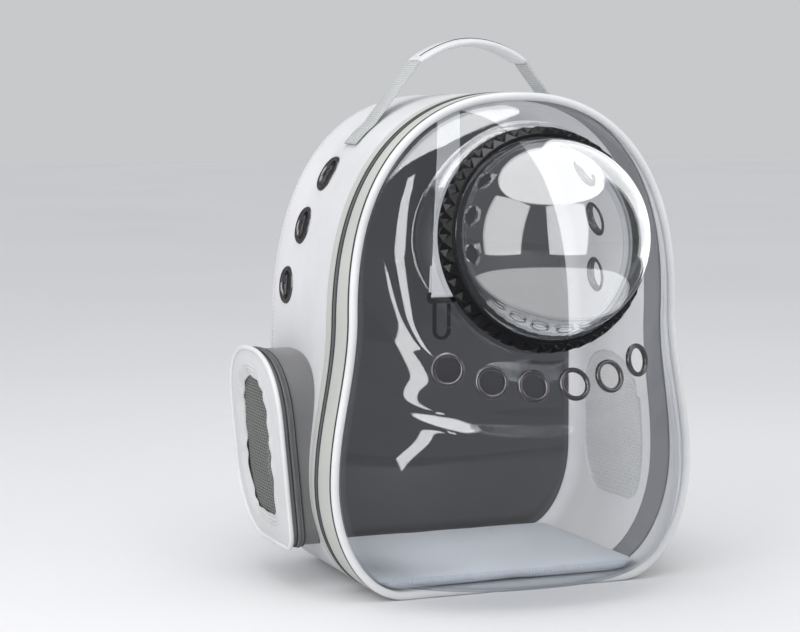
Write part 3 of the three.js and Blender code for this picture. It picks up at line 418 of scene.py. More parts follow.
clear_plastic = clear_finish("clear_plastic", (0.975, 0.98, 0.985), (0.86, 0.88, 0.9), 7.0, 0.0005, 0.07)
dome_plastic = clear_finish("dome_plastic", (0.955, 0.96, 0.965), (0.8, 0.82, 0.85), 4.0, 0.0003, 0.13)
thread = cloth_finish("thread", (0.60, 0.60, 0.61), rough=0.6, threads=3000)

# The black plastics shine less than the others
for plastic, level in ((ring_plastic, 0.25), (black_plastic, 0.12)):
    plastic.node_tree.nodes["Principled BSDF"].inputs["Specular IOR Level"].default_value = level

# Meshes


def make_piece(name, points, faces, material, smooth=True, uv=None):
    """An object from points and faces, with its faces turned outwards."""
    mesh = bpy.data.meshes.new(name)
    mesh.from_pydata(np.asarray(points, float).reshape(-1, 3).tolist(), [], [list(f) for f in faces])
    if uv is not None:
        layer = mesh.uv_layers.new(name="UVMap")
        layer.data.foreach_set("uv", np.asarray(uv, np.float32).ravel())
    work = bmesh.new()
    work.from_mesh(mesh)
    bmesh.ops.recalc_face_normals(work, faces=work.faces)
    work.to_mesh(mesh)
    work.free()
    mesh.polygons.foreach_set("use_smooth", [smooth] * len(mesh.polygons))
    mesh.materials.append(material)
    piece = bpy.data.objects.new(name, mesh)
    bpy.context.scene.collection.objects.link(piece)
    return piece


def grid_faces(rows, columns, closed_rows, closed_columns):
    """Quads of a grid of points, as an array of corners, and their places in the grid."""
    k, i = np.meshgrid(
        np.arange(rows if closed_rows else rows - 1),
        np.arange(columns if closed_columns else columns - 1),
        indexing="ij",
    )
    k, i = k.ravel(), i.ravel()
    corners = np.stack([np.stack([k, k, k + 1, k + 1], 1), np.stack([i, i + 1, i + 1, i], 1)], 2)
    faces = (corners[..., 0] % rows) * columns + corners[..., 1] % columns
    return faces, corners


def run_lengths(points, axis, closed):
    """Mean distance run along one axis of a grid of points."""
    ahead = np.roll(points, -1, axis) if closed else np.take(points, range(1, points.shape[axis]), axis)
    here = points if closed else np.take(points, range(points.shape[axis] - 1), axis)
    steps = np.linalg.norm(ahead - here, axis=2).mean(axis=1 - axis)
    return np.concatenate([[0], np.cumsum(steps)])


def loft(name, loops, material, closed=False, around=True, caps=True, smooth=True):
    """A mesh through rows of points. closed joins the last row to the first, around closes each row."""
    loops = np.asarray(loops, float)
    rows, columns = loops.shape[:2]
    faces, corners = grid_faces(rows, columns, closed, around)
    across, along = run_lengths(loops, 1, around), run_lengths(loops, 0, closed)
    uv = np.stack([across[corners[..., 1]], along[corners[..., 0]]], 2).reshape(-1, 2)
    points, faces = loops.reshape(-1, 3), faces.tolist()
    if caps and around and not closed:
        uv = list(map(tuple, uv))
        points = np.vstack([points, loops[0].mean(0), loops[-1].mean(0)])
        for row, middle in ((0, rows * columns), (rows - 1, rows * columns + 1)):
            for i in range(columns):
                faces.append([row * columns + i, row * columns + (i + 1) % columns, middle])
                uv += [(across[i], along[row]), (across[i + 1], along[row]), (across[i], along[row])]
    return make_piece(name, points, faces, material, smooth, uv)


def applied(piece):
    """The piece with its modifiers made part of its mesh."""
    graph = bpy.context.evaluated_depsgraph_get()
    mesh = bpy.data.meshes.new_from_object(piece.evaluated_get(graph), depsgraph=graph)
    old = piece.data
    piece.modifiers.clear()
    piece.data = mesh
    bpy.data.meshes.remove(old)
    return piece


def carve(piece, tools):
    """Cuts the tools' shapes out of the piece."""
    for tool in tools:
        cut = piece.modifiers.new("cut", "BOOLEAN")
        cut.operation, cut.solver, cut.object = "DIFFERENCE", "EXACT", tool
    applied(piece)
    for tool in tools:
        bpy.data.objects.remove(tool)
    return piece


def joined(name, pieces):
    """One object from several meshes with one material each."""
    work = bmesh.new()
    materials = []
    for piece in pieces:
        start = len(work.faces)
        work.from_mesh(piece.data)
        work.faces.ensure_lookup_table()
        for material in piece.data.materials:
            if material not in materials:
                materials.append(material)
        own = [materials.index(m) for m in piece.data.materials]
        for face in work.faces[start:]:
            face.material_index = own[min(face.material_index, len(own) - 1)]
        bpy.data.objects.remove(piece)
    mesh = bpy.data.meshes.new(name)
    work.to_mesh(mesh)
    work.free()
    for material in materials:
        mesh.materials.append(material)
    made = bpy.data.objects.new(name, mesh)
    bpy.context.scene.collection.objects.link(made)
    return made


def softened(piece, width, segments=4, angle=40, harden=True):
    """Rounds the sharp edges of a piece."""
    edge = piece.modifiers.new("soft_edges", "BEVEL")
    edge.width, edge.segments, edge.harden_normals = width, segments, harden
    edge.limit_method, edge.angle_limit = "ANGLE", math.radians(angle)
    return piece


def settle(piece, body, slot, *nodes):
    """Gives a finished piece its body and hides the nodes that it stands for. The slot is not used."""
    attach(piece, body)
    if nodes:
        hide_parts(*nodes)
    return piece


# Body outline, with the same rule as the solids


def outline(form, step):
    """Points (x, z) of an outline. Steps run from the apex down the left, over the base (0) and up."""
    step = (np.asarray(step, float) + HALF_STEPS) % (2 * HALF_STEPS) - HALF_STEPS
    side, s = np.sign(step), np.abs(step)
    flat, hip, shoulder = (form[key] * HALF_WIDTH for key in ("flat", "hip", "shoulder"))
    hip_rise, shoulder_rise, top = (form[key] * BODY_HEIGHT for key in ("hip_rise", "shoulder_rise", "top"))
    ends = np.cumsum([FLAT_STEPS, CORNER_STEPS, SIDE_STEPS])
    corner = np.clip((s - ends[0]) / CORNER_STEPS, 0, 1) * math.pi / 2
    climb = np.clip((s - ends[1]) / SIDE_STEPS, 0, 1)
    arch = np.clip((s - ends[2]) / TOP_STEPS, 0, 1) * math.pi / 2
    where = [s <= ends[0], s <= ends[1], s <= ends[2]]
    across = np.maximum(np.cos(arch), 0) ** (2 / form["power"])
    up = np.sin(arch) ** (2 / form["power"])
    x = np.select(
        where,
        [
            flat * s / FLAT_STEPS,
            mix(flat, hip, np.sin(corner)),
            mix(hip, shoulder, (1 - np.cos(math.pi * climb)) / 2),
        ],
        shoulder * across,
    )
    z = np.select(
        where,
        [0 * s, hip_rise * (1 - np.cos(corner)), mix(hip_rise, shoulder_rise, climb)],
        mix(shoulder_rise, top, up),
    )
    return side * x, z


def inset_outline(form, step, inset):
    reach = 0.02
    x, z = outline(form, step)
    x1, z1 = outline(form, np.asarray(step) - reach)
    x2, z2 = outline(form, np.asarray(step) + reach)
    length = np.hypot(x2 - x1, z2 - z1)
    return x - (z2 - z1) / length * inset, z + (x2 - x1) / length * inset


def skin(step, y, inset):
    """Points of the body's skin at one depth, moved inwards by inset. All three may be arrays."""
    step, y, inset = np.broadcast_arrays(np.asarray(step, float), y, inset)
    share = (y - FRONT_Y) / BODY_DEPTH
    form = {key: mix(FRONT_FORM[key], REAR_FORM[key], share) for key in FRONT_FORM}
    x, z = inset_outline(form, step, inset)
    return np.stack([x, y, z], -1)


def zip_y(step):
    z = outline(FRONT_FORM, step)[1]
    return FRONT_Y + mix(ZIP_SETBACK_BASE, ZIP_SETBACK_TOP, z / BODY_HEIGHT)


round_steps = np.linspace(-HALF_STEPS, HALF_STEPS, 2 * HALF_STEPS * PER_STEP, endpoint=False)


def body_profile(inset):
    """Rows of the body's skin from behind the zip to the middle of the rear."""
    start = zip_y(round_steps) + ZIP_WIDTH / 2 + GAP
    rows = [
        skin(round_steps, mix(start, REAR_Y - REAR_ROUND, share), inset)
        for share in np.linspace(0, 1, 22)
    ]
    for angle in np.radians(np.linspace(12, 90, 7)):
        y = REAR_Y - REAR_ROUND + (REAR_ROUND - inset) * math.sin(angle)
        rows.append(skin(round_steps, y, REAR_ROUND - (REAR_ROUND - inset) * math.cos(angle)))
    middle = np.array([0, REAR_Y - inset, REAR_MIDDLE])
    for share in (0.9, 0.75, 0.55, 0.35, 0.15):
        rows.append(middle + (rows[28] - middle) * share)
    return rows


def pocket_outline(scale, grow):
    """Points (y, z) round a pocket, rear edge first, anticlockwise seen from the right."""
    half = POCKET_WIDTH / 2 * scale[0] + grow
    height = POCKET_HEIGHT * scale[1] + 2 * grow
    base = POCKET_BASE + POCKET_HEIGHT * (1 - scale[1]) / 2 - grow
    shoulder = base + height * POCKET_SHOULDER
    angle = np.linspace(0, math.pi, 61)
    across = np.sign(np.cos(angle)) * np.abs(np.cos(angle)) ** 0.8
    arch = np.stack([-half * across, shoulder + (base + height - shoulder) * np.sin(angle) ** 0.8], 1)
    parts = [arch]
    for side, wide, high, flip in ((1, 0.85, 0.34, False), (-1, 0.22, 0.1, True)):
        angle = np.linspace(0, math.pi / 2, 21)
        angle = angle[::-1] if flip else angle
        out = half - wide * half + wide * half * np.cos(angle)
        parts.append(np.stack([side * out, base + high * height * (1 - np.sin(angle))], 1))
    points = np.vstack(parts)
    points[:, 0] += FRONT_Y + POCKET_SETBACK
    keep = np.linalg.norm(points - np.roll(points, 1, 0), axis=1) > 1e-5
    return even_loop(points[keep], 160)


def even_loop(points, count):
    """A closed loop resampled at even distances."""
    ring = np.vstack([points, points[:1]])
    run = np.concatenate([[0], np.cumsum(np.linalg.norm(np.diff(ring, axis=0), axis=1))])
    return at_runs(ring, run, np.linspace(0, run[-1], count, endpoint=False))


def pocket_face_x(z):
    return HALF_WIDTH + mix(POCKET_DEPTH_BASE, POCKET_DEPTH_TOP, (z - POCKET_BASE) / POCKET_HEIGHT)


def pocket_loop(side, scale, grow, offset):
    loop = pocket_outline(scale, grow)
    return np.stack([side * (pocket_face_x(loop[:, 1]) + offset), loop[:, 0], loop[:, 1]], 1)


def pocket_tool(side, scale, grow, inner, outer):
    loops = [pocket_loop(side, scale, grow, at) for at in (inner, outer)]
    return loft("tool", loops, white_cloth, smooth=False)


def frame_towards(point, outward):
    """A turn whose Z points outwards, at a point."""
    z = Vector(outward).normalized()
    x = Vector((0, 0, 1)).cross(z).normalized()
    y = z.cross(x)
    turn = Matrix((x, y, z)).transposed().to_4x4()
    turn.translation = Vector(point)
    return turn


def side_eyelet_frame(side, rise, setback):
    y, z = FRONT_Y + setback * BODY_DEPTH, rise * BODY_HEIGHT
    low, high = FLAT_STEPS + CORNER_STEPS, HALF_STEPS
    for _ in range(40):
        middle = (low + high) / 2
        if skin(middle, y, WALL / 2)[2] < z:
            low = middle
        else:
            high = middle
    point = skin(side * low, y, WALL / 2)
    return frame_towards(point, skin(side * low, y, 0) - point)


def cylinder_tool(place, radius, length, sides=48):
    angle = round_angles(sides)
    loops = []
    for z in (-length / 2, length / 2):
        loop = np.stack([radius * np.cos(angle), radius * np.sin(angle), np.full(sides, z)], 1)
        loops.append([place @ Vector(p) for p in loop])
    return loft("tool", loops, white_cloth, smooth=False)


side_frames = {
    side: [side_eyelet_frame(side, rise, setback) for rise, setback in SIDE_EYELETS] for _, side in SIDES
}

# Fabric body behind the zip, with its windows and eyelet holes
inner_rows, outer_rows = body_profile(WALL), body_profile(0)
fabric_body = loft("fabric_body", inner_rows[::-1] + outer_rows, white_cloth)
tools = [pocket_tool(side, WALL_WINDOW, 0, -0.07, 0) for _, side in SIDES]
side_hole = SIDE_EYELET["hole"] + 0.001
tools += [cylinder_tool(place, side_hole, 0.03) for side in (-1, 1) for place in side_frames[side]]
carve(fabric_body, tools)
settle(fabric_body, "root", "fabric", "body_shell")


# Rim of the door: piping, band, zip and hinge
def strip_rows(start, end, outer, inner, steps=None, puff=0.0, count=10):
    """Section loops of a strip from one depth to another, with a crown that stands out by puff."""
    steps = round_steps if steps is None else steps
    start, end = (np.broadcast_to(np.asarray(v, float), np.shape(steps)) for v in (start, end))
    rows = []
    for share in np.linspace(0, 1, count):
        crown = puff * math.sin(math.pi * share) ** 0.7
        rows.append(skin(steps, mix(start, end, share), outer - crown))
    for share in np.linspace(1, 0, count):
        rows.append(skin(steps, mix(start, end, share), inner))
    return np.array(rows)


zip_middle = zip_y(round_steps)
band_front = FRONT_Y + PIPING + GAP
BAND_ROWS = 14
door_band = loft(
    "door_band_cloth",
    strip_rows(band_front, zip_middle - ZIP_WIDTH / 2 - GAP, 0, WALL, puff=0.0004, count=BAND_ROWS),
    band_cloth,
    closed=True,
)
door_band.data.materials.append(white_cloth)
for face in door_band.data.polygons[BAND_ROWS * len(round_steps) :]:
    face.material_index = 1
settle(door_band, "root", "band", "door_band")


def tube_round(radius, y_middle, inset, sides=14):
    rows = []
    for angle in round_angles(sides):
        rows.append(skin(round_steps, y_middle + radius * math.sin(angle), inset - radius * math.cos(angle)))
    return np.array(rows)


rim_piping = loft(
    "rim_piping_cord",
    tube_round(PIPING / 2, FRONT_Y + PIPING / 2, PIPING / 2),
    piping_cloth,
    closed=True,
)
settle(rim_piping, "root", "piping", "rim_piping")

tape_band = loft(
    "inner_tape",
    strip_rows(zip_middle - TAPE_WIDTH / 2, zip_middle + TAPE_WIDTH / 2, 0.0046, 0.0058),
    tape_cloth,
    closed=True,
)
settle(tape_band, "root", "tape", "zip_tape")

ZIP_END = FLAT_STEPS + 1
over_steps = np.linspace(ZIP_END, 2 * HALF_STEPS - ZIP_END, 330)
under_steps = np.linspace(-ZIP_END * 0.98, ZIP_END * 0.98, 60)


def strip_run(name, steps, half, outer, inner, material, puff=0.0):
    middle = zip_y(steps)
    rows = strip_rows(middle - half, middle + half, outer, inner, steps, puff)
    return loft(name, rows.transpose(1, 0, 2), material)


main_zip = strip_run("main_zip_tape", over_steps, ZIP_WIDTH / 2, 0.0004, 0.003, zip_tape_cloth)


def bead_run(name, steps, y, inset, radius, material, sides=8):
    """A thin round bead along the body's skin."""
    rows = []
    for angle in round_angles(sides):
        rows.append(skin(steps, y + radius * math.sin(angle), inset - radius * math.cos(angle)))
    closed = len(steps) == len(round_steps)
    if closed:
        return loft(name, rows, material, closed=True)
    return loft(name, np.array(rows).transpose(1, 0, 2), material)


# Near-black beads on both sides of the main zip coil: painted shadow lines in its grooves.
zip_shadow_lines = [
    bead_run("zip_shadow_line", over_steps, zip_y(over_steps) + side * 0.0038, 0.0003, 0.0008, shadow_line_cloth)
    for side in (-1, 1)
]
settle(joined("main_zip_tape", [main_zip, *zip_shadow_lines]), "root", "zip", "zip_coil")
# A near-black bead behind the rim piping: painted shadow in the crease there.
rim_shadow_line = bead_run("rim_shadow_line", round_steps, FRONT_Y + PIPING + 0.0006, 0.0008, 0.0009, shadow_line_cloth)
settle(rim_shadow_line, "root", "piping")
facing = loft(
    "zip_facing",
    strip_rows(zip_middle + ZIP_WIDTH / 2 + 0.0006, zip_middle + ZIP_WIDTH / 2 + 0.0105, -0.0005, 0.0008),
    band_cloth,
    closed=True,
)
settle(facing, "root", "band")
hinge = strip_run("door_hinge_cloth", under_steps, ZIP_WIDTH / 2, 0.001, 0.003, band_cloth, 0.0004)
settle(hinge, "root", "band", "door_hinge")

# Clear front
SHELL_INSET = PIPING + 0.0005
SHELL_EDGE = FRONT_Y + PIPING / 2 + SHELL_THICKNESS / 2
row_table = np.array(SHELL_ROWS)
crown_steps = np.linspace(SHELL_ROWS[-1][0], HALF_STEPS - 1e-6, 200)
crown_x, crown_z = inset_outline(FRONT_FORM, crown_steps, SHELL_INSET)
shell_base = inset_outline(FRONT_FORM, 0, SHELL_INSET)[1]


def smooth_slopes(values):
    """Slopes of a smooth curve through values at whole places that never overshoots them."""
    steps = np.diff(values)
    slopes = np.zeros(len(values))
    rising = steps[:-1] * steps[1:] > 0
    slopes[1:-1][rising] = 2 * steps[:-1][rising] * steps[1:][rising] / (steps[:-1] + steps[1:])[rising]
    slopes[0], slopes[-1] = steps[0], steps[-1]
    return slopes


row_slopes = np.stack([smooth_slopes(row_table[:, k]) for k in range(3)], 1)


def row_values(row):
    """Rim step, rise and swell at any place between the rows of the clear front."""
    row = np.clip(row, 0, len(SHELL_ROWS) - 1.000001)
    k = np.floor(row).astype(int)
    t = (row - k)[..., None]
    low, high = row_table[k], row_table[k + 1]
    out = low * (1 + 2 * t) * (1 - t) ** 2 + high * t * t * (3 - 2 * t)
    out += row_slopes[k] * t * (1 - t) ** 2 - row_slopes[k + 1] * t * t * (1 - t)
    return out[..., 0], out[..., 1], out[..., 2]


def crown_share(across):
    height = np.interp(-np.abs(across) * crown_x[0], -crown_x, crown_z)
    return (height - crown_z[0]) / (crown_z[-1] - crown_z[0])


def shell_row_point(row, across):
    rim, rise, swell = row_values(np.asarray(row, float))
    end_x, end_z = inset_outline(FRONT_FORM, rim, SHELL_INSET)
    middle = mix(shell_base, crown_z[-1], rise)
    stand = SHELL_BULGE * swell * (1 - np.abs(across) ** SHELL_FULLNESS)
    z = end_z + (middle - end_z) * crown_share(across)
    return np.stack([across * end_x, SHELL_EDGE - SHELL_THICKNESS - stand, z], -1)


def shell_stand(x, z):
    """Depth y of the clear front over a place in the front view."""
    low, high = np.zeros_like(x), np.full_like(x, len(SHELL_ROWS) - 1)
    for _ in range(34):
        row = (low + high) / 2
        end_x = inset_outline(FRONT_FORM, row_values(row)[0], SHELL_INSET)[0]
        across = np.clip(np.abs(x) / np.maximum(end_x, 1e-6), 0, 1)
        below = shell_row_point(row, across)[..., 2] < z
        low, high = np.where(below, row, low), np.where(below, high, row)
    return shell_row_point(row, across)[..., 1]


SEAT_OUT = Vector((0, -math.cos(SEAT_TILT), math.sin(SEAT_TILT)))
SEAT_UP = Vector((0, math.sin(SEAT_TILT), math.cos(SEAT_TILT)))


def seat_point(radius, height, angle):
    """Points round the bubble's axis, at a height above its seat."""
    radius, height, angle = np.broadcast_arrays(radius, height, angle)
    point = np.array(SEAT_PLACE) + height[..., None] * np.array(SEAT_OUT)
    point = point + (radius * np.cos(angle))[..., None] * np.array([1.0, 0, 0])
    return point + (radius * np.sin(angle))[..., None] * np.array(SEAT_UP)


def seated(points):
    """The clear front's points, drawn out to the bubble's seat where they come near it."""
    away = points - np.array(SEAT_PLACE)
    height = away @ np.array(SEAT_OUT)
    radius = np.hypot(away[..., 0], away @ np.array(SEAT_UP))
    wall = -(radius - SEAT_RADIUS) * 4.5
    soft = 0.002
    top = np.logaddexp(height / soft, wall / soft) * soft
    near = 1 - smooth_share(radius, SEAT_RADIUS + 0.0005, SEAT_RADIUS + 0.006)
    level = mix(top, np.minimum(top, 0), near)
    level = np.where(radius <= SEAT_RADIUS, 0, level)
    return points + (level - height)[..., None] * np.array(SEAT_OUT)


SHELL_ROUND, SHELL_OUT = 384, 116
rim_steps = np.linspace(-HALF_STEPS, HALF_STEPS, SHELL_ROUND, endpoint=False) + 1e-4
rim_x, rim_z = inset_outline(FRONT_FORM, rim_steps, SHELL_INSET)
rim_angle = np.unwrap(np.arctan2(rim_z - SEAT_PLACE[2], rim_x))
even_angle = np.linspace(rim_angle[0], rim_angle[0] + 2 * math.pi, SHELL_ROUND, endpoint=False)
seat_angle = mix(rim_angle, even_angle, 0.45)
hole_radius = DOME_RADIUS - DOME_FLANGE - DOME_WALL
start = seat_point(SEAT_RADIUS, 0, seat_angle)[:, None]
fine = np.linspace(0, 1, 420)
x, z = mix(start[..., 0], rim_x[:, None], fine), mix(start[..., 2], rim_z[:, None], fine)
outer = seated(np.stack([x, shell_stand(x, z), z], -1))
lip = seat_point(np.linspace(hole_radius, SEAT_RADIUS, 12)[None, :-1], 0, seat_angle[:, None])
rays = []
for ray in np.concatenate([lip, outer], 1):
    step = np.linalg.norm(np.diff(ray, axis=0), axis=1)
    heading = np.diff(ray, axis=0) / np.maximum(step, 1e-9)[:, None]
    bend = np.concatenate([[0], np.linalg.norm(np.diff(heading, axis=0), axis=1)])
    run = np.concatenate([[0], np.cumsum(step + 0.006 * bend)])
    rays.append(at_runs(ray, run, np.linspace(0, run[-1], SHELL_OUT)))
clear_front = loft("clear_front_moulding", rays, clear_plastic, closed=True, around=False)
thick = clear_front.modifiers.new("thickness", "SOLIDIFY")
thick.thickness, thick.offset = SHELL_THICKNESS, -1


def vent_frame(across):
    reach = 0.02
    row, place = np.array(float(VENT_ROW)), np.array(across)
    point = shell_row_point(row, place)
    along = shell_row_point(row, place + reach) - shell_row_point(row, place - reach)
    up = shell_row_point(row + reach, place) - shell_row_point(row - reach, place)
    outward = Vector(along).cross(Vector(up)).normalized()
    return frame_towards(Vector(point) - outward * SHELL_THICKNESS / 2, outward)


vent_frames = [vent_frame(across) for across in VENT_PLACES]

# Repeats made with geometry nodes


def geometry_group(name, inputs):
    shape = ("Geometry", "NodeSocketGeometry")
    return make_group(name, [(*shape, None), *inputs], [shape], "GeometryNodeTree")


def finish_repeat(group, end, instances, material):
    """Realizes the copies, shades them smooth and gives them their material."""
    real = add(group, "GeometryNodeRealizeInstances", {0: instances})
    soft = add(group, "GeometryNodeSetShadeSmooth", {0: real.outputs[0]})
    worn = add(group, "GeometryNodeSetMaterial", {"Geometry": soft.outputs[0], "Material": material})
    return finish_groups(group, end, {"Geometry": worn.outputs[0]})


def path_points(group, given):
    """Evenly spaced places along a line, and the turn that faces each along it and outwards."""
    line = add(group, "GeometryNodeMeshToCurve", {0: given["Geometry"]})
    inputs = {"Curve": line.outputs[0], "Length": given["Pitch"]}
    spaced = add(group, "GeometryNodeResampleCurve", inputs, mode="LENGTH")
    tangent = add(group, "GeometryNodeInputTangent")
    out = add(group, "GeometryNodeInputNamedAttribute", {"Name": "out"}, data_type="FLOAT_VECTOR")
    along = add(group, "FunctionNodeAlignRotationToVector", {"Vector": tangent.outputs[0]}, axis="X")
    faced = add(
        group,
        "FunctionNodeAlignRotationToVector",
        {"Rotation": along.outputs[0], "Vector": out.outputs[0]},
        axis="Z",
        pivot_axis="X",
    )
    return spaced.outputs[0], faced.outputs[0]


def bead_group(name, rings, segments):
    """Small rounded beads along a line: stitches, or the teeth of a coil zip."""
    group, given, end = geometry_group(
        name,
        [
            ("Pitch", "NodeSocketFloat", 0.003),
            ("Along", "NodeSocketFloat", 0.0022),
            ("Across", "NodeSocketFloat", 0.0006),
            ("Stand", "NodeSocketFloat", 0.0005),
            ("Material", "NodeSocketMaterial", None),
        ],
    )
    points, turns = path_points(group, given)
    ball = add(group, "GeometryNodeMeshUVSphere", {"Segments": segments, "Rings": rings, "Radius": 0.5})
    size = add(group, "ShaderNodeCombineXYZ", {0: given["Along"], 1: given["Across"], 2: given["Stand"]})
    copies = add(
        group,
        "GeometryNodeInstanceOnPoints",
        {"Points": points, "Instance": ball.outputs[0], "Rotation": turns, "Scale": size.outputs[0]},
    )
    return finish_repeat(group, end, copies.outputs[0], given["Material"])


def eyelet_group():
    """Rolled metal eyelets at given places."""
    group, given, end = geometry_group(
        "rolled_eyelets",
        [
            ("Hole", "NodeSocketFloat", 0.01),
            ("Radius", "NodeSocketFloat", 0.014),
            ("Depth", "NodeSocketFloat", 0.005),
            ("Material", "NodeSocketMaterial", None),
        ],
    )
    middle = calc(group, "MULTIPLY", calc(group, "ADD", given["Hole"], given["Radius"]), 0.5)
    half = calc(group, "MULTIPLY", calc(group, "SUBTRACT", given["Radius"], given["Hole"]), 0.5)
    high = calc(group, "MULTIPLY", given["Depth"], 0.5)
    hoop = add(group, "GeometryNodeCurvePrimitiveCircle", {"Resolution": 56, "Radius": middle})
    section = add(group, "GeometryNodeCurvePrimitiveCircle", {"Resolution": 16, "Radius": 1.0})
    size = add(group, "ShaderNodeCombineXYZ", {0: half, 1: high, 2: 1.0})
    oval = add(group, "GeometryNodeTransform", {"Geometry": section.outputs[0], "Scale": size.outputs[0]})
    inputs = {"Curve": hoop.outputs[0], "Profile Curve": oval.outputs[0]}
    ring = add(group, "GeometryNodeCurveToMesh", inputs)
    turn = add(group, "GeometryNodeInputNamedAttribute", {"Name": "turn"}, data_type="FLOAT_VECTOR")
    facing = add(group, "FunctionNodeEulerToRotation", {0: turn.outputs[0]})
    copies = add(
        group,
        "GeometryNodeInstanceOnPoints",
        {"Points": given["Geometry"], "Instance": ring.outputs[0], "Rotation": facing.outputs[0]},
    )
    return finish_repeat(group, end, copies.outputs[0], given["Material"])


eyelets_tree = eyelet_group()
stitch_tree = bead_group("stitch_line", 4, 6)
coil_tree = bead_group("coil_teeth", 5, 8)


def grown(name, base, tree, values):
    """The plain mesh that a geometry nodes tree makes from a base mesh."""
    piece = bpy.data.objects.new(name, base)
    bpy.context.scene.collection.objects.link(piece)
    change = piece.modifiers.new("repeat", "NODES")
    change.node_group = tree
    for item in tree.interface.items_tree:
        if item.item_type == "SOCKET" and item.in_out == "INPUT" and item.name in values:
            change[item.identifier] = values[item.name]
    return applied(piece)


def line_mesh(lines):
    """A mesh of open or closed lines with the direction out at each point. lines: (points, outs, closed)."""
    mesh = bpy.data.meshes.new("line")
    points, outs, edges = [], [], []
    for line, out, closed in lines:
        first, count = len(points), len(line)
        points += [tuple(map(float, p)) for p in line]
        outs += [tuple(map(float, p)) for p in out]
        edges += [(first + i, first + (i + 1) % count) for i in range(count if closed else count - 1)]
    mesh.from_pydata(points, edges, [])
    layer = mesh.attributes.new("out", "FLOAT_VECTOR", "POINT")
    layer.data.foreach_set("vector", np.asarray(outs, np.float32).ravel())
    return mesh


def stitches(name, lines, body="root", slot="piping", pitch=0.0036, along=0.0026, wide=0.0007, stand=0.0006):
    values = {"Pitch": pitch, "Along": along, "Across": wide, "Stand": stand, "Material": thread}
    return settle(grown(name, line_mesh(lines), stitch_tree, values), body, slot)


def coil(name, lines, width):
    values = {"Pitch": 0.0017, "Along": 0.00135, "Across": width, "Stand": 0.0017, "Material": coil_plastic}
    return grown(name, line_mesh(lines), coil_tree, values)


def eyelet_row(name, frames, sizes, *nodes):
    mesh = bpy.data.meshes.new(name)
    mesh.from_pydata([tuple(place.translation) for place in frames], [], [])
    layer = mesh.attributes.new("turn", "FLOAT_VECTOR", "POINT")
    layer.data.foreach_set("vector", [a for place in frames for a in place.to_euler()])
    values = {"Hole": sizes["hole"], "Radius": sizes["radius"], "Depth": sizes["depth"]}
    values["Material"] = gunmetal
    return settle(grown(name, mesh, eyelets_tree, values), "root", "gunmetal", *nodes)


eyelet_row("vent_eyelets", vent_frames, VENT_EYELET, *(f"vent_eyelet_{i + 1}" for i in range(6)))
for word, side in SIDES:
    nodes = (f"side_eyelet_{word}_{i + 1}" for i in range(3))
    eyelet_row(f"side_eyelets_{word}", side_frames[side], SIDE_EYELET, *nodes)

applied(clear_front)
carve(clear_front, [cylinder_tool(place, VENT_EYELET["hole"] + 0.001, 0.03) for place in vent_frames])
settle(clear_front, "root", "clear", "clear_front")


def skin_line(steps, y, inset):
    """A line over the body's skin with its outward directions."""
    line, under = skin(steps, y, inset), skin(steps, y, inset + 0.002)
    return line, line - under


coil_line, coil_out = skin_line(over_steps, zip_y(over_steps), 0.0003)
settle(coil("main_zip_coil", [(coil_line, coil_out, False)], 0.0040), "root", "zip")

# Bubble: dome and ring
around = round_angles(DOME_STEPS)


def dome_profile():
    inner = DOME_RADIUS - DOME_WALL
    arch = np.linspace(math.pi / 2 - 0.012, 0, 26)
    rows = [(inner * math.cos(a), DOME_NECK + inner * math.sin(a)) for a in arch]
    rows += [(inner, h) for h in (0.011, 0.006, GAP)]
    rim = DOME_RADIUS + DOME_FLANGE
    rows += [(rim - 0.0004, GAP), (rim, GAP + 0.0005), (rim, GAP + 0.0016), (rim - 0.0004, GAP + DOME_WALL)]
    rows += [(DOME_RADIUS + 0.0012, GAP + DOME_WALL), (DOME_RADIUS + 0.0003, GAP + 0.0024)]
    rows += [(DOME_RADIUS, h) for h in (0.0035, 0.008, 0.012)]
    return rows + [(DOME_RADIUS * math.cos(a), DOME_NECK + DOME_RADIUS * math.sin(a)) for a in arch[::-1]]


dome_rows = [seat_point(radius, height, around) for radius, height in dome_profile()]
bubble_dome = loft("bubble_dome_moulding", dome_rows, dome_plastic)
dome_middle = Vector(seat_point(0, DOME_NECK, 0))
dome_vents = []
for _, side in SIDES:
    for place in (-1, 0, 1):
        climb = DOME_VENT_MIDDLE + place * DOME_VENT_SPACING
        level = math.cos(DOME_VENT_LIFT)
        outward = Vector((side * level * math.cos(climb), 0, 0))
        outward += SEAT_OUT * math.sin(DOME_VENT_LIFT) + SEAT_UP * level * math.sin(climb)
        dome_vents.append(frame_towards(dome_middle + outward * DOME_RADIUS, outward))
carve(bubble_dome, [cylinder_tool(place, DOME_VENT, 0.012) for place in dome_vents])
settle(bubble_dome, "bubble", "clear", "bubble_dome")


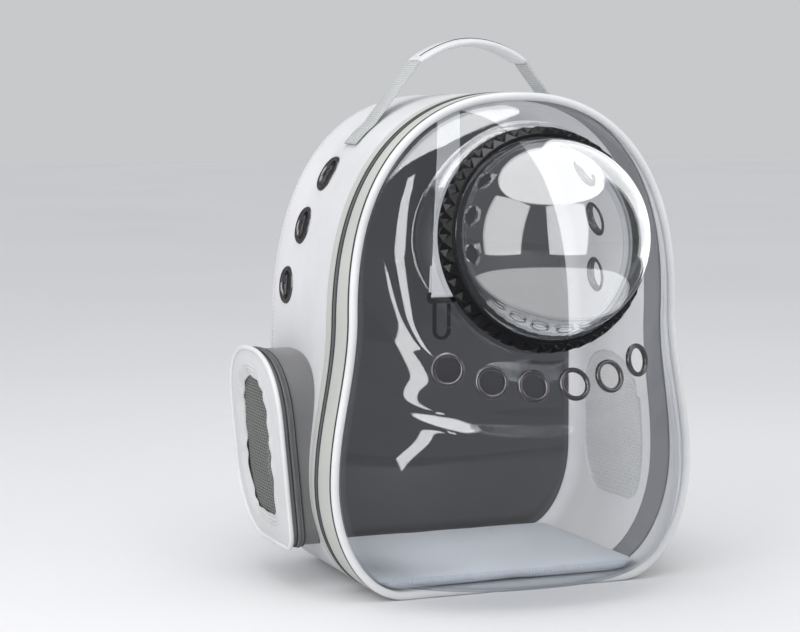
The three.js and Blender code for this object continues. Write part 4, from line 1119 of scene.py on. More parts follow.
def ring_facets():
    """The ring's outer side in flat triangles, with a smooth lip and inner side."""
    count = 2 * RING_FACETS
    outer, inner = RING_RADIUS, DOME_RADIUS + 0.0007
    foot = GAP + DOME_WALL + GAP
    rows = [
        (inner + DOME_FLANGE, inner + DOME_FLANGE, GAP),
        (outer - 0.0014, outer - 0.0014, GAP),
        (outer - 0.0034, outer, 0.0062),
        (outer - 0.0014, outer - 0.0056, 0.0118),
        (inner + 0.0036, inner + 0.0036, RING_DEPTH - 0.0012),
        (inner + 0.003, inner + 0.003, RING_DEPTH),
        (inner + 0.0012, inner + 0.0012, RING_DEPTH),
        (inner + 0.0003, inner + 0.0003, RING_DEPTH - 0.0006),
        (inner, inner, RING_DEPTH - 0.002),
        (inner, inner, foot),
        (inner + DOME_FLANGE, inner + DOME_FLANGE, foot),
    ]
    angle = round_angles(count)
    even = np.arange(count) % 2 == 0
    points = np.array([seat_point(np.where(even, a, b), h, angle) for a, b, h in rows])
    faces = []
    for k in range(len(rows)):
        for i in range(count):
            a, b = k * count + i, k * count + (i + 1) % count
            d, c = ((k + 1) % len(rows)) * count + i, ((k + 1) % len(rows)) * count + (i + 1) % count
            if 1 <= k <= 3:
                faces += [(a, b, c), (a, c, d)] if (i + k) % 2 else [(a, b, d), (b, c, d)]
            else:
                faces.append((a, b, c, d))
    return points, faces


points, faces = ring_facets()
bubble_ring = make_piece("bubble_ring_moulding", points, faces, ring_plastic, smooth=False)
settle(softened(bubble_ring, 0.0003, 2, 30, False), "bubble", "black_plastic", "bubble_ring")


# Side pockets
def body_x(y, z):
    """Half width of the body's skin at a depth and height, taken where the side runs."""
    low, high = np.full(np.shape(z), float(FLAT_STEPS)), np.full(np.shape(z), float(HALF_STEPS))
    for _ in range(34):
        middle = (low + high) / 2
        below = skin(middle, y, 0)[..., 2] < z
        low, high = np.where(below, middle, low), np.where(below, high, middle)
    return skin(low, y, 0)[..., 0]


def on_pocket(side, loop, offset):
    """Points at a distance outside the pocket's face, and never inside the body."""
    x = np.maximum(pocket_face_x(loop[:, 1]) + offset, body_x(loop[:, 0], loop[:, 1]) + GAP)
    return np.stack([side * x, loop[:, 0], loop[:, 1]], 1)


def wave(points, scale, seed):
    """A soft uneven value from -1 to 1 over places, the same on each run."""
    rng = np.random.default_rng(seed)
    total = np.zeros(len(points))
    for _ in range(5):
        way = rng.normal(size=points.shape[1]) / scale
        total += np.sin(points @ way + rng.uniform(0, 6.28))
    return total / 5


def side_pocket(side):
    edge = pocket_outline((1, 1), 0)
    inside = pocket_outline((1, 1), -POCKET_WALL)
    hole = pocket_outline(POCKET_WINDOW, 0)
    hole = hole + 0.0009 * wave(hole, 0.014, 3)[:, None] * (hole - hole.mean(0)) / 0.05
    rows = [on_pocket(side, inside, at) for at in np.linspace(-0.06, -POCKET_WALL, 6)]
    for share in (0.3, 0.6, 0.85):
        rows.append(on_pocket(side, mix(inside, hole, share), -POCKET_WALL))
    for share in np.linspace(0, 1, 36):
        away = share * 0.03
        loop = mix(hole, edge, share)
        fold = np.sin(away / 0.0042 * 6.28 + 2.4 * wave(hole, 0.02, 8)) * 0.0011
        pleat = np.sin(np.arange(len(hole)) * 0.62 + 3 * wave(hole, 0.012, 5)) * 0.0006
        hem = 1 - smooth_share(share, 0.3, 0.55)
        crown = 0.0022 * math.sin(math.pi * min(1, share * 1.02))
        rows.append(on_pocket(side, loop, 0) + side * np.outer((fold + pleat) * hem + crown, (1, 0, 0)))
    rows += [on_pocket(side, edge, at) for at in np.linspace(-0.0008, -0.06, 14)]
    piece = loft(f"side_pocket_cloth_{'right' if side > 0 else 'left'}", rows, pocket_cloth, closed=True)
    for material in (pocket_inside_shade, gusset_cloth):
        piece.data.materials.append(material)
    # The inner rows get the painted shade of the pocket's inside, the rows round its edge the gusset cloth.
    for face in piece.data.polygons:
        row = face.index // len(edge)
        face.material_index = 1 if row < 9 else (2 if 44 <= row < 58 else 0)
    return piece


def pocket_tube(side, grow, offset, radius, sides=12):
    middle = pocket_outline((1, 1), grow)
    away = middle - pocket_outline((1, 1), grow - 0.002)
    away /= np.linalg.norm(away, axis=1)[:, None]
    rows = []
    for angle in round_angles(sides):
        loop = middle + away * radius * math.cos(angle)
        x = side * (pocket_face_x(middle[:, 1]) + offset + radius * math.sin(angle))
        rows.append(np.stack([x, loop[:, 0], loop[:, 1]], 1))
    return rows


def pocket_strip(side, low, high, grow, thickness):
    outer, inner = pocket_outline((1, 1), grow + thickness), pocket_outline((1, 1), grow)
    return [on_pocket(side, outer, at) for at in np.linspace(low, high, 4)] + [
        on_pocket(side, inner, at) for at in np.linspace(high, low, 4)
    ]


def net(name, place, low, high, keep, cell, open_share, material, thickness=0.0007):
    """Knitted net: staggered cells with a hole each, laid over a surface by place(u, v)."""
    wide, tall = cell
    points, faces = [], []
    for j in range(int((high[1] - low[1]) / tall) + 1):
        for i in range(int((high[0] - low[0]) / wide) + 2):
            u, v = low[0] + (i - 0.5 * (j % 2)) * wide, low[1] + j * tall
            if not keep(u + wide / 2, v + tall / 2):
                continue
            first = len(points)
            corners = ((0, 0), (0.5, 0), (1, 0), (1, 1), (0.5, 1), (0, 1))
            points += [(u + a * wide, v + b * tall) for a, b in corners]
            for a, b in corners:
                x, y = (a - 0.5) * 2, (b - 0.5) * 2
                reach = open_share / max(math.hypot(x, y), 1e-6) * (1 if abs(x) > 0.1 else 0.8)
                points.append((u + wide / 2 * (1 + x * reach), v + tall / 2 * (1 + y * reach)))
            for k in range(6):
                a, b = first + k, first + (k + 1) % 6
                faces.append([a, b, b + 6, a + 6])
    flat = np.array(points)
    uv = flat[np.array(faces).ravel()]
    piece = make_piece(name, place(flat[:, 0], flat[:, 1]), faces, material, uv=uv)
    work = bmesh.new()
    work.from_mesh(piece.data)
    bmesh.ops.remove_doubles(work, verts=work.verts, dist=0.00002)
    work.to_mesh(piece.data)
    work.free()
    wall = piece.modifiers.new("thickness", "SOLIDIFY")
    wall.thickness, wall.offset = thickness, 0
    return piece


def within(loop, margin):
    """A test of whether a place lies inside a loop, grown by a margin."""
    middle = loop.mean(0)
    reach = loop - middle
    grown_loop = middle + reach * (1 + margin / np.linalg.norm(reach, axis=1)[:, None])
    ahead = np.roll(grown_loop, -1, 0)

    def test(u, v):
        crosses = (grown_loop[:, 1] > v) != (ahead[:, 1] > v)
        slope = (ahead[:, 0] - grown_loop[:, 0]) * (v - grown_loop[:, 1])
        at = grown_loop[:, 0] + slope / np.where(crosses, ahead[:, 1] - grown_loop[:, 1], 1)
        return bool(np.count_nonzero(crosses & (u < at)) % 2)

    return test


POCKET_CELL, WALL_CELL = (0.0048, 0.0027), (0.0056, 0.0032)
inner_pieces = [fabric_body, door_band, tape_band]
for word, side in SIDES:
    settle(side_pocket(side), "root", "fabric", f"side_pocket_{word}")
    rows = pocket_tube(side, 0.0018, 0, 0.0021)
    cord = loft(f"pocket_piping_cord_{word}", rows, piping_cloth, closed=True)
    settle(cord, "root", "piping", f"pocket_piping_{word}")
    middle = -POCKET_DEPTH_TOP / 3
    tape = loft(
        f"pocket_zip_tape_{word}",
        pocket_strip(side, middle - 0.0035, middle + 0.0035, GAP, 0.0007),
        zip_tape_cloth,
        closed=True,
    )
    # Near-black beads on both sides of the pocket zip coil: painted shadow lines in its grooves.
    edges = []
    for place in (-1, 1):
        rows = pocket_tube(side, GAP + 0.0006, middle + place * 0.0031, 0.0006, 8)
        edges.append(loft("edge", rows, shadow_line_cloth, closed=True))
    settle(joined(f"pocket_zip_tape_{word}", [tape, *edges]), "root", "zip", f"pocket_zip_{word}")
    ring = on_pocket(side, pocket_outline((1, 1), 0.0012), middle)
    inner = on_pocket(side, pocket_outline((1, 1), 0), middle)
    settle(coil(f"pocket_zip_coil_{word}", [(ring, ring - inner, True)], 0.0030), "root", "zip")
    window = pocket_outline(POCKET_WINDOW, 0)

    def pocket_net_place(u, v, side=side):
        reach = np.hypot((u - window[:, 0].mean()) / 0.034, (v - window[:, 1].mean()) / 0.06)
        bulge = 0.0012 * np.maximum(0, 1 - reach**2)
        return np.stack([side * (pocket_face_x(v) - 0.0012 + bulge), u, v], 1)

    low, high = window.min(0) - 0.004, window.max(0) + 0.004
    keep = within(window, 0.0035)
    mesh_net = net(f"pocket_net_{word}", pocket_net_place, low, high, keep, POCKET_CELL, 0.78, net_thread)
    settle(mesh_net, "root", "mesh", f"pocket_mesh_{word}")
    opening = pocket_outline(WALL_WINDOW, 0)

    def wall_net_place(u, v, side=side):
        return np.stack([side * (body_x(u, v) - WALL / 2), u, v], 1)

    low, high = opening.min(0) - 0.004, opening.max(0) + 0.004
    keep = within(opening, 0.001)
    wall_net = net(f"window_net_{word}", wall_net_place, low, high, keep, WALL_CELL, 0.34, white_net_thread)
    inner_pieces.append(settle(wall_net, "root", "mesh", f"window_mesh_{word}"))

# Straps and padded pieces


def smooth_path(knots, count):
    """Evenly spaced points on a smooth curve through a few knots."""
    knots = np.asarray(knots, float)
    ends = np.vstack([2 * knots[0] - knots[1], knots, 2 * knots[-1] - knots[-2]])
    t = np.linspace(0, 1, 24, endpoint=False)[:, None]
    parts = []
    for a, b, c, d in zip(ends[:-3], ends[1:-2], ends[2:-1], ends[3:]):
        bend, turn = 2 * a - 5 * b + 4 * c - d, 3 * b - a - 3 * c + d
        parts.append((2 * b + (c - a) * t + bend * t**2 + turn * t**3) / 2)
    line = np.vstack([*parts, knots[-1:]])
    run = np.concatenate([[0], np.cumsum(np.linalg.norm(np.diff(line[:, :3], axis=0), axis=1))])
    return at_runs(line, run, np.linspace(0, run[-1], count))


def path_frames(points, sideways):
    """Directions across and out of a path, across kept near the given one."""
    along = np.gradient(points[:, :3], axis=0)
    along /= np.linalg.norm(along, axis=1)[:, None]
    across = np.array(sideways, float) - (along @ np.array(sideways, float))[:, None] * along
    across /= np.linalg.norm(across, axis=1)[:, None]
    return across, np.cross(along, across)


def flat_section(power, sides):
    """A flat rounded section from -1 to 1 across and out."""
    angle = round_angles(sides) + math.pi / sides
    across, out = np.cos(angle), np.sin(angle)
    return np.sign(across) * np.abs(across) ** (2 / power), np.sign(out) * np.abs(out) ** (2 / power)


def strap_rows(points, sideways, width, thickness, power=7, sides=20):
    across, out = path_frames(points, sideways)
    wide, high = flat_section(power, sides)
    width, thickness = (np.broadcast_to(v, len(points))[:, None, None] / 2 for v in (width, thickness))
    rows = points[:, None, :3] + width * wide[None, :, None] * across[:, None]
    return rows + thickness * high[None, :, None] * out[:, None]


def strap_line(points, sideways, beside, above):
    """A line along a strap, with the direction out of it."""
    across, out = path_frames(points, sideways)
    return points[:, :3] + across * beside + out * above, out if above > 0 else -out


def swollen(pieces):
    """Remeshes the pieces evenly and swells them by their filling, as cloth under pressure.

    pieces: (piece, voxel, pressure, cap on the movement)
    """
    scene = bpy.context.scene
    rests = []
    for piece, voxel, pressure, cap in pieces:
        even = piece.modifiers.new("even", "REMESH")
        even.mode, even.voxel_size = "VOXEL", voxel
        applied(piece)
        rests.append(np.array([v.co for v in piece.data.vertices]))
        filling = piece.modifiers.new("filling", "CLOTH")
        filling.settings.use_pressure = True
        filling.settings.uniform_pressure_force = pressure
        filling.settings.effector_weights.gravity = 0
    for step in range(1, 21):
        scene.frame_set(step)
    for (piece, voxel, pressure, cap), rest in zip(pieces, rests):
        applied(piece)
        move = np.array([v.co for v in piece.data.vertices]) - rest
        length = np.maximum(np.linalg.norm(move, axis=1), 1e-9)
        place = rest + move * np.minimum(1, cap / length)[:, None]
        piece.data.vertices.foreach_set("co", place.ravel())
        soft = piece.modifiers.new("soft", "SMOOTH")
        soft.factor, soft.iterations = 0.5, 3
        fine = piece.modifiers.new("fine", "SUBSURF")
        fine.levels = fine.render_levels = 1
        applied(piece)
    scene.frame_set(1)


def dressed(piece, material, first, second):
    """Gives a remeshed piece its cloth, and a UV map in metres along two directions."""
    mesh = piece.data
    mesh.materials.clear()
    mesh.materials.append(material)
    corners = np.zeros(len(mesh.loops), int)
    mesh.loops.foreach_get("vertex_index", corners)
    places = np.array([v.co for v in mesh.vertices])[corners]
    layer = mesh.uv_layers.new(name="UVMap")
    uv = np.stack([places @ np.array(first), places @ np.array(second)], 1)
    layer.data.foreach_set("uv", uv.astype(np.float32).ravel())
    mesh.polygons.foreach_set("use_smooth", [True] * len(mesh.polygons))
    mesh.update()
    return piece


def laid_on(piece, points, heading):
    """Points dropped onto a piece along a direction, and the directions out of it."""
    mesh = piece.data
    tree = BVHTree.FromPolygons([v.co for v in mesh.vertices], [tuple(p.vertices) for p in mesh.polygons])
    heading = np.broadcast_to(np.asarray(heading, float), np.shape(points))
    hits = [tree.ray_cast(Vector(p - 0.06 * d), Vector(d)) for p, d in zip(points, heading)]
    hits = [(hit[0], hit[1]) for hit in hits if hit[0] is not None]
    return np.array([hit[0] for hit in hits]), np.array([hit[1] for hit in hits])


def sewn(piece, lines, reach, depth):
    """Draws a padded piece in along its sewn lines."""
    spots = np.vstack(lines)
    tree = KDTree(len(spots))
    for i, spot in enumerate(spots):
        tree.insert(Vector(spot), i)
    tree.balance()
    for vertex in piece.data.vertices:
        away = tree.find(vertex.co)[2]
        if away < reach:
            vertex.co = vertex.co - vertex.normal * depth * (1 - float(smooth_share(away, 0, reach)))
    piece.data.update()


# Carry handle
HANDLE_Y = FRONT_Y + HANDLE_SETBACK
HANDLE_TOP = BODY_HEIGHT + HANDLE_RISE
foot = [skin(mix(HANDLE_FOOT_STEP, HANDLE_LIFT_STEP, s), HANDLE_Y, -0.0022) for s in (0, 0.5, 1)]
grip_end = np.array([GRIP_HALF, HANDLE_Y, HANDLE_TOP - GRIP_CROWN])
half = foot + [mix(foot[-1], grip_end, share) for share in (0.12, 0.5, 0.9)]
for share in (1, 0.66, 0.33):
    half.append(np.array([GRIP_HALF * share, HANDLE_Y, HANDLE_TOP - GRIP_CROWN * share**2]))
handle_knots = half + [np.array([0, HANDLE_Y, HANDLE_TOP])] + [p * (-1, 1, 1) for p in half[::-1]]
handle_line = smooth_path(handle_knots, 260)
DOWN_Y = (0, -1, 0)
handle_webbing = loft(
    "handle_webbing", strap_rows(handle_line, DOWN_Y, HANDLE_WIDTH, WEBBING, power=8), webbing_cloth
)
settle(handle_webbing, "root", "webbing", "handle_strap")

grip_line = handle_line[np.abs(handle_line[:, 0]) <= GRIP_HALF]
grip_share = np.linspace(-1, 1, len(grip_line))
plump = (1 - np.abs(grip_share) ** 12) ** 0.5
crease = 1 + 0.03 * np.sin(grip_share * 40) * np.sin(grip_share * 17)
grip_outer = strap_rows(
    grip_line,
    DOWN_Y,
    HANDLE_WIDTH + 0.002 + (GRIP_WIDTH - HANDLE_WIDTH - 0.002) * plump,
    WEBBING + 0.0012 + (0.0068 - WEBBING - 0.0012) * plump * crease,
    power=2.8,
    sides=28,
)
grip_inner = strap_rows(grip_line, DOWN_Y, HANDLE_WIDTH + 0.0012, WEBBING + 0.0006, power=2.8, sides=28)
handle_sleeve = loft("handle_sleeve", [*grip_outer, *grip_inner[::-1]], white_cloth, closed=True)
settle(handle_sleeve, "root", "fabric", "handle_grip")
slit, slit_out = strap_line(grip_line[4:-4], DOWN_Y, 0, 0.02)
slit = slit + np.array((0, -1, 0)) * (0.006 + 0.0015 * np.sin(np.linspace(0, 9, len(slit))))[:, None]
slit, slit_out = laid_on(handle_sleeve, slit, -slit_out)
tube = []
for angle in np.linspace(0, 5.5, 8):
    tube.append(slit + 0.0006 * (math.cos(angle) * slit_out + math.sin(angle) * np.array((0, 1, 0))))
# The slit is a near-black tube: painted shade in the sleeve's opening.
settle(loft("sleeve_slit", np.array(tube).transpose(1, 0, 2), shadow_line_cloth), "root", "fabric")

for word, side in SIDES:
    reach = np.linalg.norm(handle_line - (foot[0] * (side, 1, 1)), axis=1)
    path = handle_line[reach < 0.017]
    lines = []
    for beside in (-0.0105, -0.0035, 0.0035, 0.0105):
        line, out = strap_line(path, DOWN_Y, beside, WEBBING / 2 + 0.0002)
        lines.append((line, out, False))
    stitches(f"handle_foot_stitches_{word}", lines, slot="webbing", pitch=0.0026, along=0.002, wide=0.0008)

# Inside: back board, mat, leash and hook
board_y = REAR_Y - WALL - 0.0003
board_round = REAR_ROUND - WALL - 0.0006


def board_loop(y, share=1.0):
    inset = REAR_ROUND - math.sqrt(board_round**2 - (y - REAR_Y + REAR_ROUND) ** 2)
    loop = skin(round_steps, y, inset)
    middle = np.array([0, y, REAR_MIDDLE])
    return middle + (loop - middle) * share


shares = np.linspace(0.04, 1, 16)
rows = [board_loop(board_y - 0.003, s) for s in shares]
rows += [board_loop(board_y - 0.0018), board_loop(board_y - 0.0006)]
rows += [board_loop(board_y - 0.0006, s) for s in shares[::-1]]
back_panel = loft("back_panel", rows, board_cloth)
settle(back_panel, "root", "board", "back_board")

MAT_LOW, MAT_THICKNESS, MAT_REAR, MAT_FRONT = 0.0064, 0.011, 0.0943, -0.0925


def mat_rows(shrink):
    """Sections of the floor mat across the carrier, from front to rear."""
    steps, top = np.linspace(0, 5, 300), MAT_LOW + MAT_THICKNESS - shrink
    rows = []
    for y in np.linspace(MAT_FRONT + shrink, MAT_REAR - shrink, 12):
        side = skin(steps, y, MAT_LOW + shrink)
        last = np.interp(top, side[:, 2], steps)
        lower = skin(np.linspace(-last, last, 40), y, MAT_LOW + shrink)
        upper = np.linspace(lower[-1], lower[0], 26)[1:-1]
        rows.append(np.vstack([lower, upper]))
    return rows


floor_mat = loft("floor_mat_cushion", mat_rows(0.0012), mat_cloth)

LEASH_X, LEASH_Y = 0.006, FRONT_Y + LEASH_SETBACK
LEASH_TOP, HOOK_TOP = 0.4112, 0.2392
leash_knots = [
    (LEASH_X, LEASH_Y, LEASH_TOP),
    (LEASH_X, LEASH_Y - 0.0005, LEASH_TOP - 0.045),
    (LEASH_X * 0.5, LEASH_Y - 0.0016, 0.31),
    (0.0005, LEASH_Y - 0.0026, HOOK_TOP + 0.022),
    (0, LEASH_Y - 0.0032, HOOK_TOP + 0.0012),
    (0, LEASH_Y - 0.0022, HOOK_TOP - 0.0028),
    (0, LEASH_Y, HOOK_TOP - 0.0038),
    (0, LEASH_Y + 0.0022, HOOK_TOP - 0.0028),
    (0, LEASH_Y + 0.0032, HOOK_TOP + 0.0012),
    (0, LEASH_Y + 0.0006, HOOK_TOP + 0.024),
]
RIGHTWARDS = (-1, 0, 0)
leash_line = smooth_path(leash_knots, 240)
leash = loft("leash_webbing", strap_rows(leash_line, RIGHTWARDS, LEASH_WIDTH, 0.0013, power=8), leash_cloth)
settle(leash, "root", "webbing", "leash_strap")
across = np.linspace(-LEASH_WIDTH / 2 + 0.0015, LEASH_WIDTH / 2 - 0.0015, 20)
lines = []
for rise in (0.0185, 0.0215):
    row = np.stack([across, np.full(20, LEASH_Y - 0.006), np.full(20, HOOK_TOP + rise)], 1)
    lines.append((*laid_on(leash, row, (0, 1, 0)), False))
stitches("leash_stitches", lines, slot="webbing", pitch=0.0024, along=0.0018, wide=0.0007, stand=0.0005)

HOOK_THICKNESS = 0.004
EYE_HALF, HOOK_HALF = LEASH_WIDTH / 2 + HOOK_WIRE, HOOK_WIDTH / 2
EYE_WALL, EYE_BASE = HOOK_WIRE * 0.7, -HOOK_WIRE * 2.2
BAR_BASE = EYE_BASE - HOOK_WIRE
JAW_INSIDE = HOOK_HALF - HOOK_WIRE
JAW_MIDDLE = -HOOK_LENGTH + HOOK_HALF
JAW_TIP = JAW_MIDDLE + HOOK_WIRE * 0.6
GATE_HALF = HOOK_WIRE / 2 - GAP / 2
GATE_X, GATE_Z = HOOK_HALF - HOOK_WIRE / 2, BAR_BASE - GATE_HALF - GAP


def arc(radius, middle_z, start, end, count):
    angle = np.linspace(start, end, count)
    return np.stack([radius * np.cos(angle), middle_z + radius * np.sin(angle)], 1)


def plate(name, points, thickness, soft, material, place=None, smooth=True):
    """A flat plate with rounded edges, from points (across, up)."""
    points = np.asarray(points, float)
    place = Matrix.Translation((0, LEASH_Y, HOOK_TOP)) if place is None else place
    count = len(points)
    corners = [place @ Vector((x, y, z)) for y in (-thickness / 2, thickness / 2) for x, z in points]
    faces = [tuple(range(count)), tuple(range(count, 2 * count))]
    faces += [(i, (i + 1) % count, count + (i + 1) % count, count + i) for i in range(count)]
    piece = make_piece(name, corners, faces, material, smooth)
    return softened(piece, soft) if soft else piece


hook_outline = [
    (EYE_HALF, -0.001),
    (EYE_HALF - 0.001, 0),
    (-EYE_HALF + 0.001, 0),
    (-EYE_HALF, -0.001),
    (-EYE_HALF, BAR_BASE + 0.002),
    (-EYE_HALF + 0.002, BAR_BASE),
    (-HOOK_HALF, BAR_BASE - 0.001),
    *arc(HOOK_HALF, JAW_MIDDLE, math.pi, 2 * math.pi, 25),
    (HOOK_HALF, JAW_TIP),
    (JAW_INSIDE, JAW_TIP),
    *arc(JAW_INSIDE, JAW_MIDDLE, 2 * math.pi, math.pi, 21),
    (-JAW_INSIDE, BAR_BASE),
    (EYE_HALF - 0.002, BAR_BASE),
    (EYE_HALF, BAR_BASE + 0.002),
]
hook = plate("leash_snap_hook", hook_outline, HOOK_THICKNESS, 0, black_plastic)
eye = [
    (HOOK_WIRE - EYE_HALF, -EYE_WALL),
    (HOOK_WIRE - EYE_HALF, EYE_BASE + EYE_WALL / 2),
    (EYE_HALF - HOOK_WIRE, EYE_BASE + EYE_WALL / 2),
    (EYE_HALF - HOOK_WIRE, -EYE_WALL),
]
carve(hook, [plate("tool", eye, 2 * HOOK_THICKNESS, 0, black_plastic)])
settle(softened(hook, 0.0009), "root", "black_plastic", "leash_hook")
gate_place = Matrix.Translation((GATE_X, LEASH_Y, HOOK_TOP + GATE_Z))
gate_reach = GATE_Z - JAW_TIP - 0.0005
gate_outline = [(-GATE_HALF, -gate_reach), (GATE_HALF, -gate_reach), *arc(GATE_HALF, 0, 0, math.pi, 9)]
gate = plate("hook_spring_gate", gate_outline, HOOK_THICKNESS - 0.001, 0.0005, black_plastic, gate_place)
settle(gate, "gate", "black_plastic", "hook_gate")

# Back: pad, shoulder straps, adjusters and lower webbings
PAD_WIDTH, PAD_HEIGHT, PAD_BASE, PAD_THICKNESS, PAD_CORNER = 0.176, 0.285, 0.055, 0.009, 0.030
PAD_SECTION = [
    (0.05, 1), (0.5, 1), (0.86, 0.96), (0.96, 0.8), (0.99, 0.5), (0.97, 0.04), (0.5, 0), (0.05, 0)
]
ADJUSTER_WIDTH, ADJUSTER_HEIGHT, ADJUSTER_THICKNESS = 0.034, 0.028, 0.005
LOWER_WIDTH = 0.025


def rounded_loop(width, height, corner, count=12):
    """Points (across, up) round a rectangle with round corners, centred."""
    parts = []
    for quarter, (sx, sz) in enumerate(((1, 1), (-1, 1), (-1, -1), (1, -1))):
        angle = np.linspace(0, math.pi / 2, count) + quarter * math.pi / 2
        middle = (sx * (width / 2 - corner), sz * (height / 2 - corner))
        parts.append(np.stack([middle[0] + corner * np.cos(angle), middle[1] + corner * np.sin(angle)], 1))
    return np.vstack(parts)


def upright(loop, y, z):
    return np.stack([loop[:, 0], np.full(len(loop), y), loop[:, 1] + z], 1)


pad_middle = PAD_BASE + PAD_HEIGHT / 2
pad_near = REAR_Y + GAP
rows = []
for share, stand in PAD_SECTION:
    loop = rounded_loop(PAD_WIDTH - 0.003, PAD_HEIGHT - 0.003, PAD_CORNER)
    rows.append(upright(loop * share, pad_near + 0.001 + (PAD_THICKNESS - 0.0025) * stand, pad_middle))
back_pad = loft("back_pad_cushion", rows, back_cloth)


def strap_path(side, table):
    points = []
    for drop, stand, spread, widen in table:
        y = REAR_Y + 0.0006 + STRAP_THICKNESS / 2 + stand * STRAP_STAND
        points.append((side * spread * HALF_WIDTH, y, STRAP_TOP - drop * (STRAP_TOP - STRAP_FOOT), widen))
    return smooth_path(points, 60)


ALONG_X = (1, 0, 0)
strap_paths = {side: strap_path(side, STRAP_ROWS) for _, side in SIDES}
strap_cushions = {}
for word, side in SIDES:
    path = strap_paths[side]
    ends = np.minimum(1, np.linspace(0.0, 22, 60) + 0.55) * np.minimum(1, np.linspace(22, 0, 60) + 0.55)
    width, thickness = STRAP_WIDTH * path[:, 3] - 0.004, (STRAP_THICKNESS - 0.003) * ends
    rows = strap_rows(path, ALONG_X, width, thickness, 4, 32)
    strap_cushions[side] = loft(f"shoulder_cushion_{word}", rows, back_cloth)

swollen(
    [
        (floor_mat, 0.005, 2.5, 0.0022),
        (back_pad, 0.005, 3.0, 0.003),
        *((strap_cushions[side], 0.0045, 3.0, 0.0025) for _, side in SIDES),
    ]
)
dressed(floor_mat, mat_cloth, (1, 0, 0), (0, 1, 0))
settle(floor_mat, "root", "mat", "floor_mat")

dressed(back_pad, back_cloth, (1, 0, 0), (0, 0, 1))
ring = even_loop(rounded_loop(PAD_WIDTH - 0.018, PAD_HEIGHT - 0.018, PAD_CORNER - 0.009), 320)
seam, seam_out = laid_on(back_pad, upright(ring, REAR_Y + 0.02, pad_middle), (0, -1, 0))
channels = []
for rise in (-0.068, 0, 0.068):
    line = np.stack([np.linspace(-0.078, 0.078, 80), np.full(80, rise)], 1)
    channels.append(laid_on(back_pad, upright(line, REAR_Y + 0.02, pad_middle), (0, -1, 0))[0])
sewn(back_pad, [seam, *channels], 0.006, 0.0022)
settle(back_pad, "root", "fabric", "back_pad")
seam, seam_out = laid_on(back_pad, upright(ring, REAR_Y + 0.02, pad_middle), (0, -1, 0))
lines = [(seam + seam_out * 0.0001, seam_out, True)]
for channel in channels:
    lines.append((*laid_on(back_pad, channel + (0, 0.02, 0), (0, -1, 0)), False))
stitches("back_pad_stitches", lines, slot="fabric")

for word, side in SIDES:
    cushion = dressed(strap_cushions[side], back_cloth, (1, 0, 0), (0, 0, 1))
    path = strap_paths[side][2:-2]
    seams = []
    for face in (-1, 1):
        for edge_side in (-1, 1):
            line, out = strap_line(path, ALONG_X, 0, face * 0.004)
            across, _ = path_frames(path, ALONG_X)
            line += across * (edge_side * (path[:, 3:4] * STRAP_WIDTH / 2 - 0.0085))
            seams.append((line, -out))
    sewn(cushion, [laid_on(cushion, line, heading)[0] for line, heading in seams], 0.005, 0.0016)
    settle(cushion, "root", "fabric", f"shoulder_strap_{word}")
    lines = [(*laid_on(cushion, line, heading), False) for line, heading in seams]
    stitches(f"shoulder_stitches_{word}", lines, slot="fabric")

    path = strap_paths[side]
    across, out = path_frames(path, ALONG_X)
    along = np.cross(across[-1], out[-1])
    middle = path[-1, :3] + along * (ADJUSTER_HEIGHT / 2 + 0.0006)
    turned_place = Matrix(np.stack([across[-1], out[-1], along], 1).tolist()).to_4x4()
    turned_place.translation = Vector(middle)
    frame_loop = rounded_loop(ADJUSTER_WIDTH, ADJUSTER_HEIGHT, 0.003, 5)
    thickness = ADJUSTER_THICKNESS * 0.8
    adjuster = plate(f"strap_buckle_{word}", frame_loop, thickness, 0, black_plastic, turned_place)
    slots = []
    for place in (-1, 1):
        slot = rounded_loop(ADJUSTER_WIDTH * 0.76, ADJUSTER_HEIGHT * 0.2, 0.0012, 4)
        slot = slot + (0, place * ADJUSTER_HEIGHT * 0.2)
        slots.append(plate("tool", slot, 0.03, 0, black_plastic, turned_place))
    carve(adjuster, slots)
    settle(softened(adjuster, 0.0007, 3), "root", "black_plastic", f"strap_adjuster_{word}")

    start = middle + along * (ADJUSTER_HEIGHT / 2 + 0.0018)
    end = np.array([side * 0.68 * HALF_WIDTH, REAR_Y + 0.0016, STRAP_FOOT])
    knots = [start, mix(start, end, 0.55), end, end - (0, 0, STRAP_FOOT * 0.25)]
    lower = smooth_path(knots, 70)
    rows = strap_rows(lower, ALONG_X, LOWER_WIDTH, WEBBING, 8)
    webbing = loft(f"lower_webbing_{word}", rows, webbing_cloth)
    settle(webbing, "root", "webbing", f"strap_webbing_{word}")
    bars = []
    across, out = path_frames(lower, ALONG_X)
    outwards = out[-3] if out[-3][1] > 0 else -out[-3]
    for back in (-3, -7, -11):
        width = np.linspace(-LOWER_WIDTH / 2 + 0.002, LOWER_WIDTH / 2 - 0.002, 16)[:, None]
        line = lower[back, :3] + width * across[back] + outwards * (WEBBING / 2 + 0.0001)
        bars.append((line, np.tile(outwards, (16, 1)), False))
    stitches(f"webbing_foot_stitches_{word}", bars, slot="webbing", pitch=0.0024, along=0.002, wide=0.0007)


# Zip sliders with their pulls
SLIDER_STEPS = (5, 6.8)
SLIDER_LENGTH, SLIDER_WIDTH, SLIDER_THICKNESS = 0.012, 0.009, 0.004
PULL_LENGTH, PULL_WIDTH = 0.024, 0.006


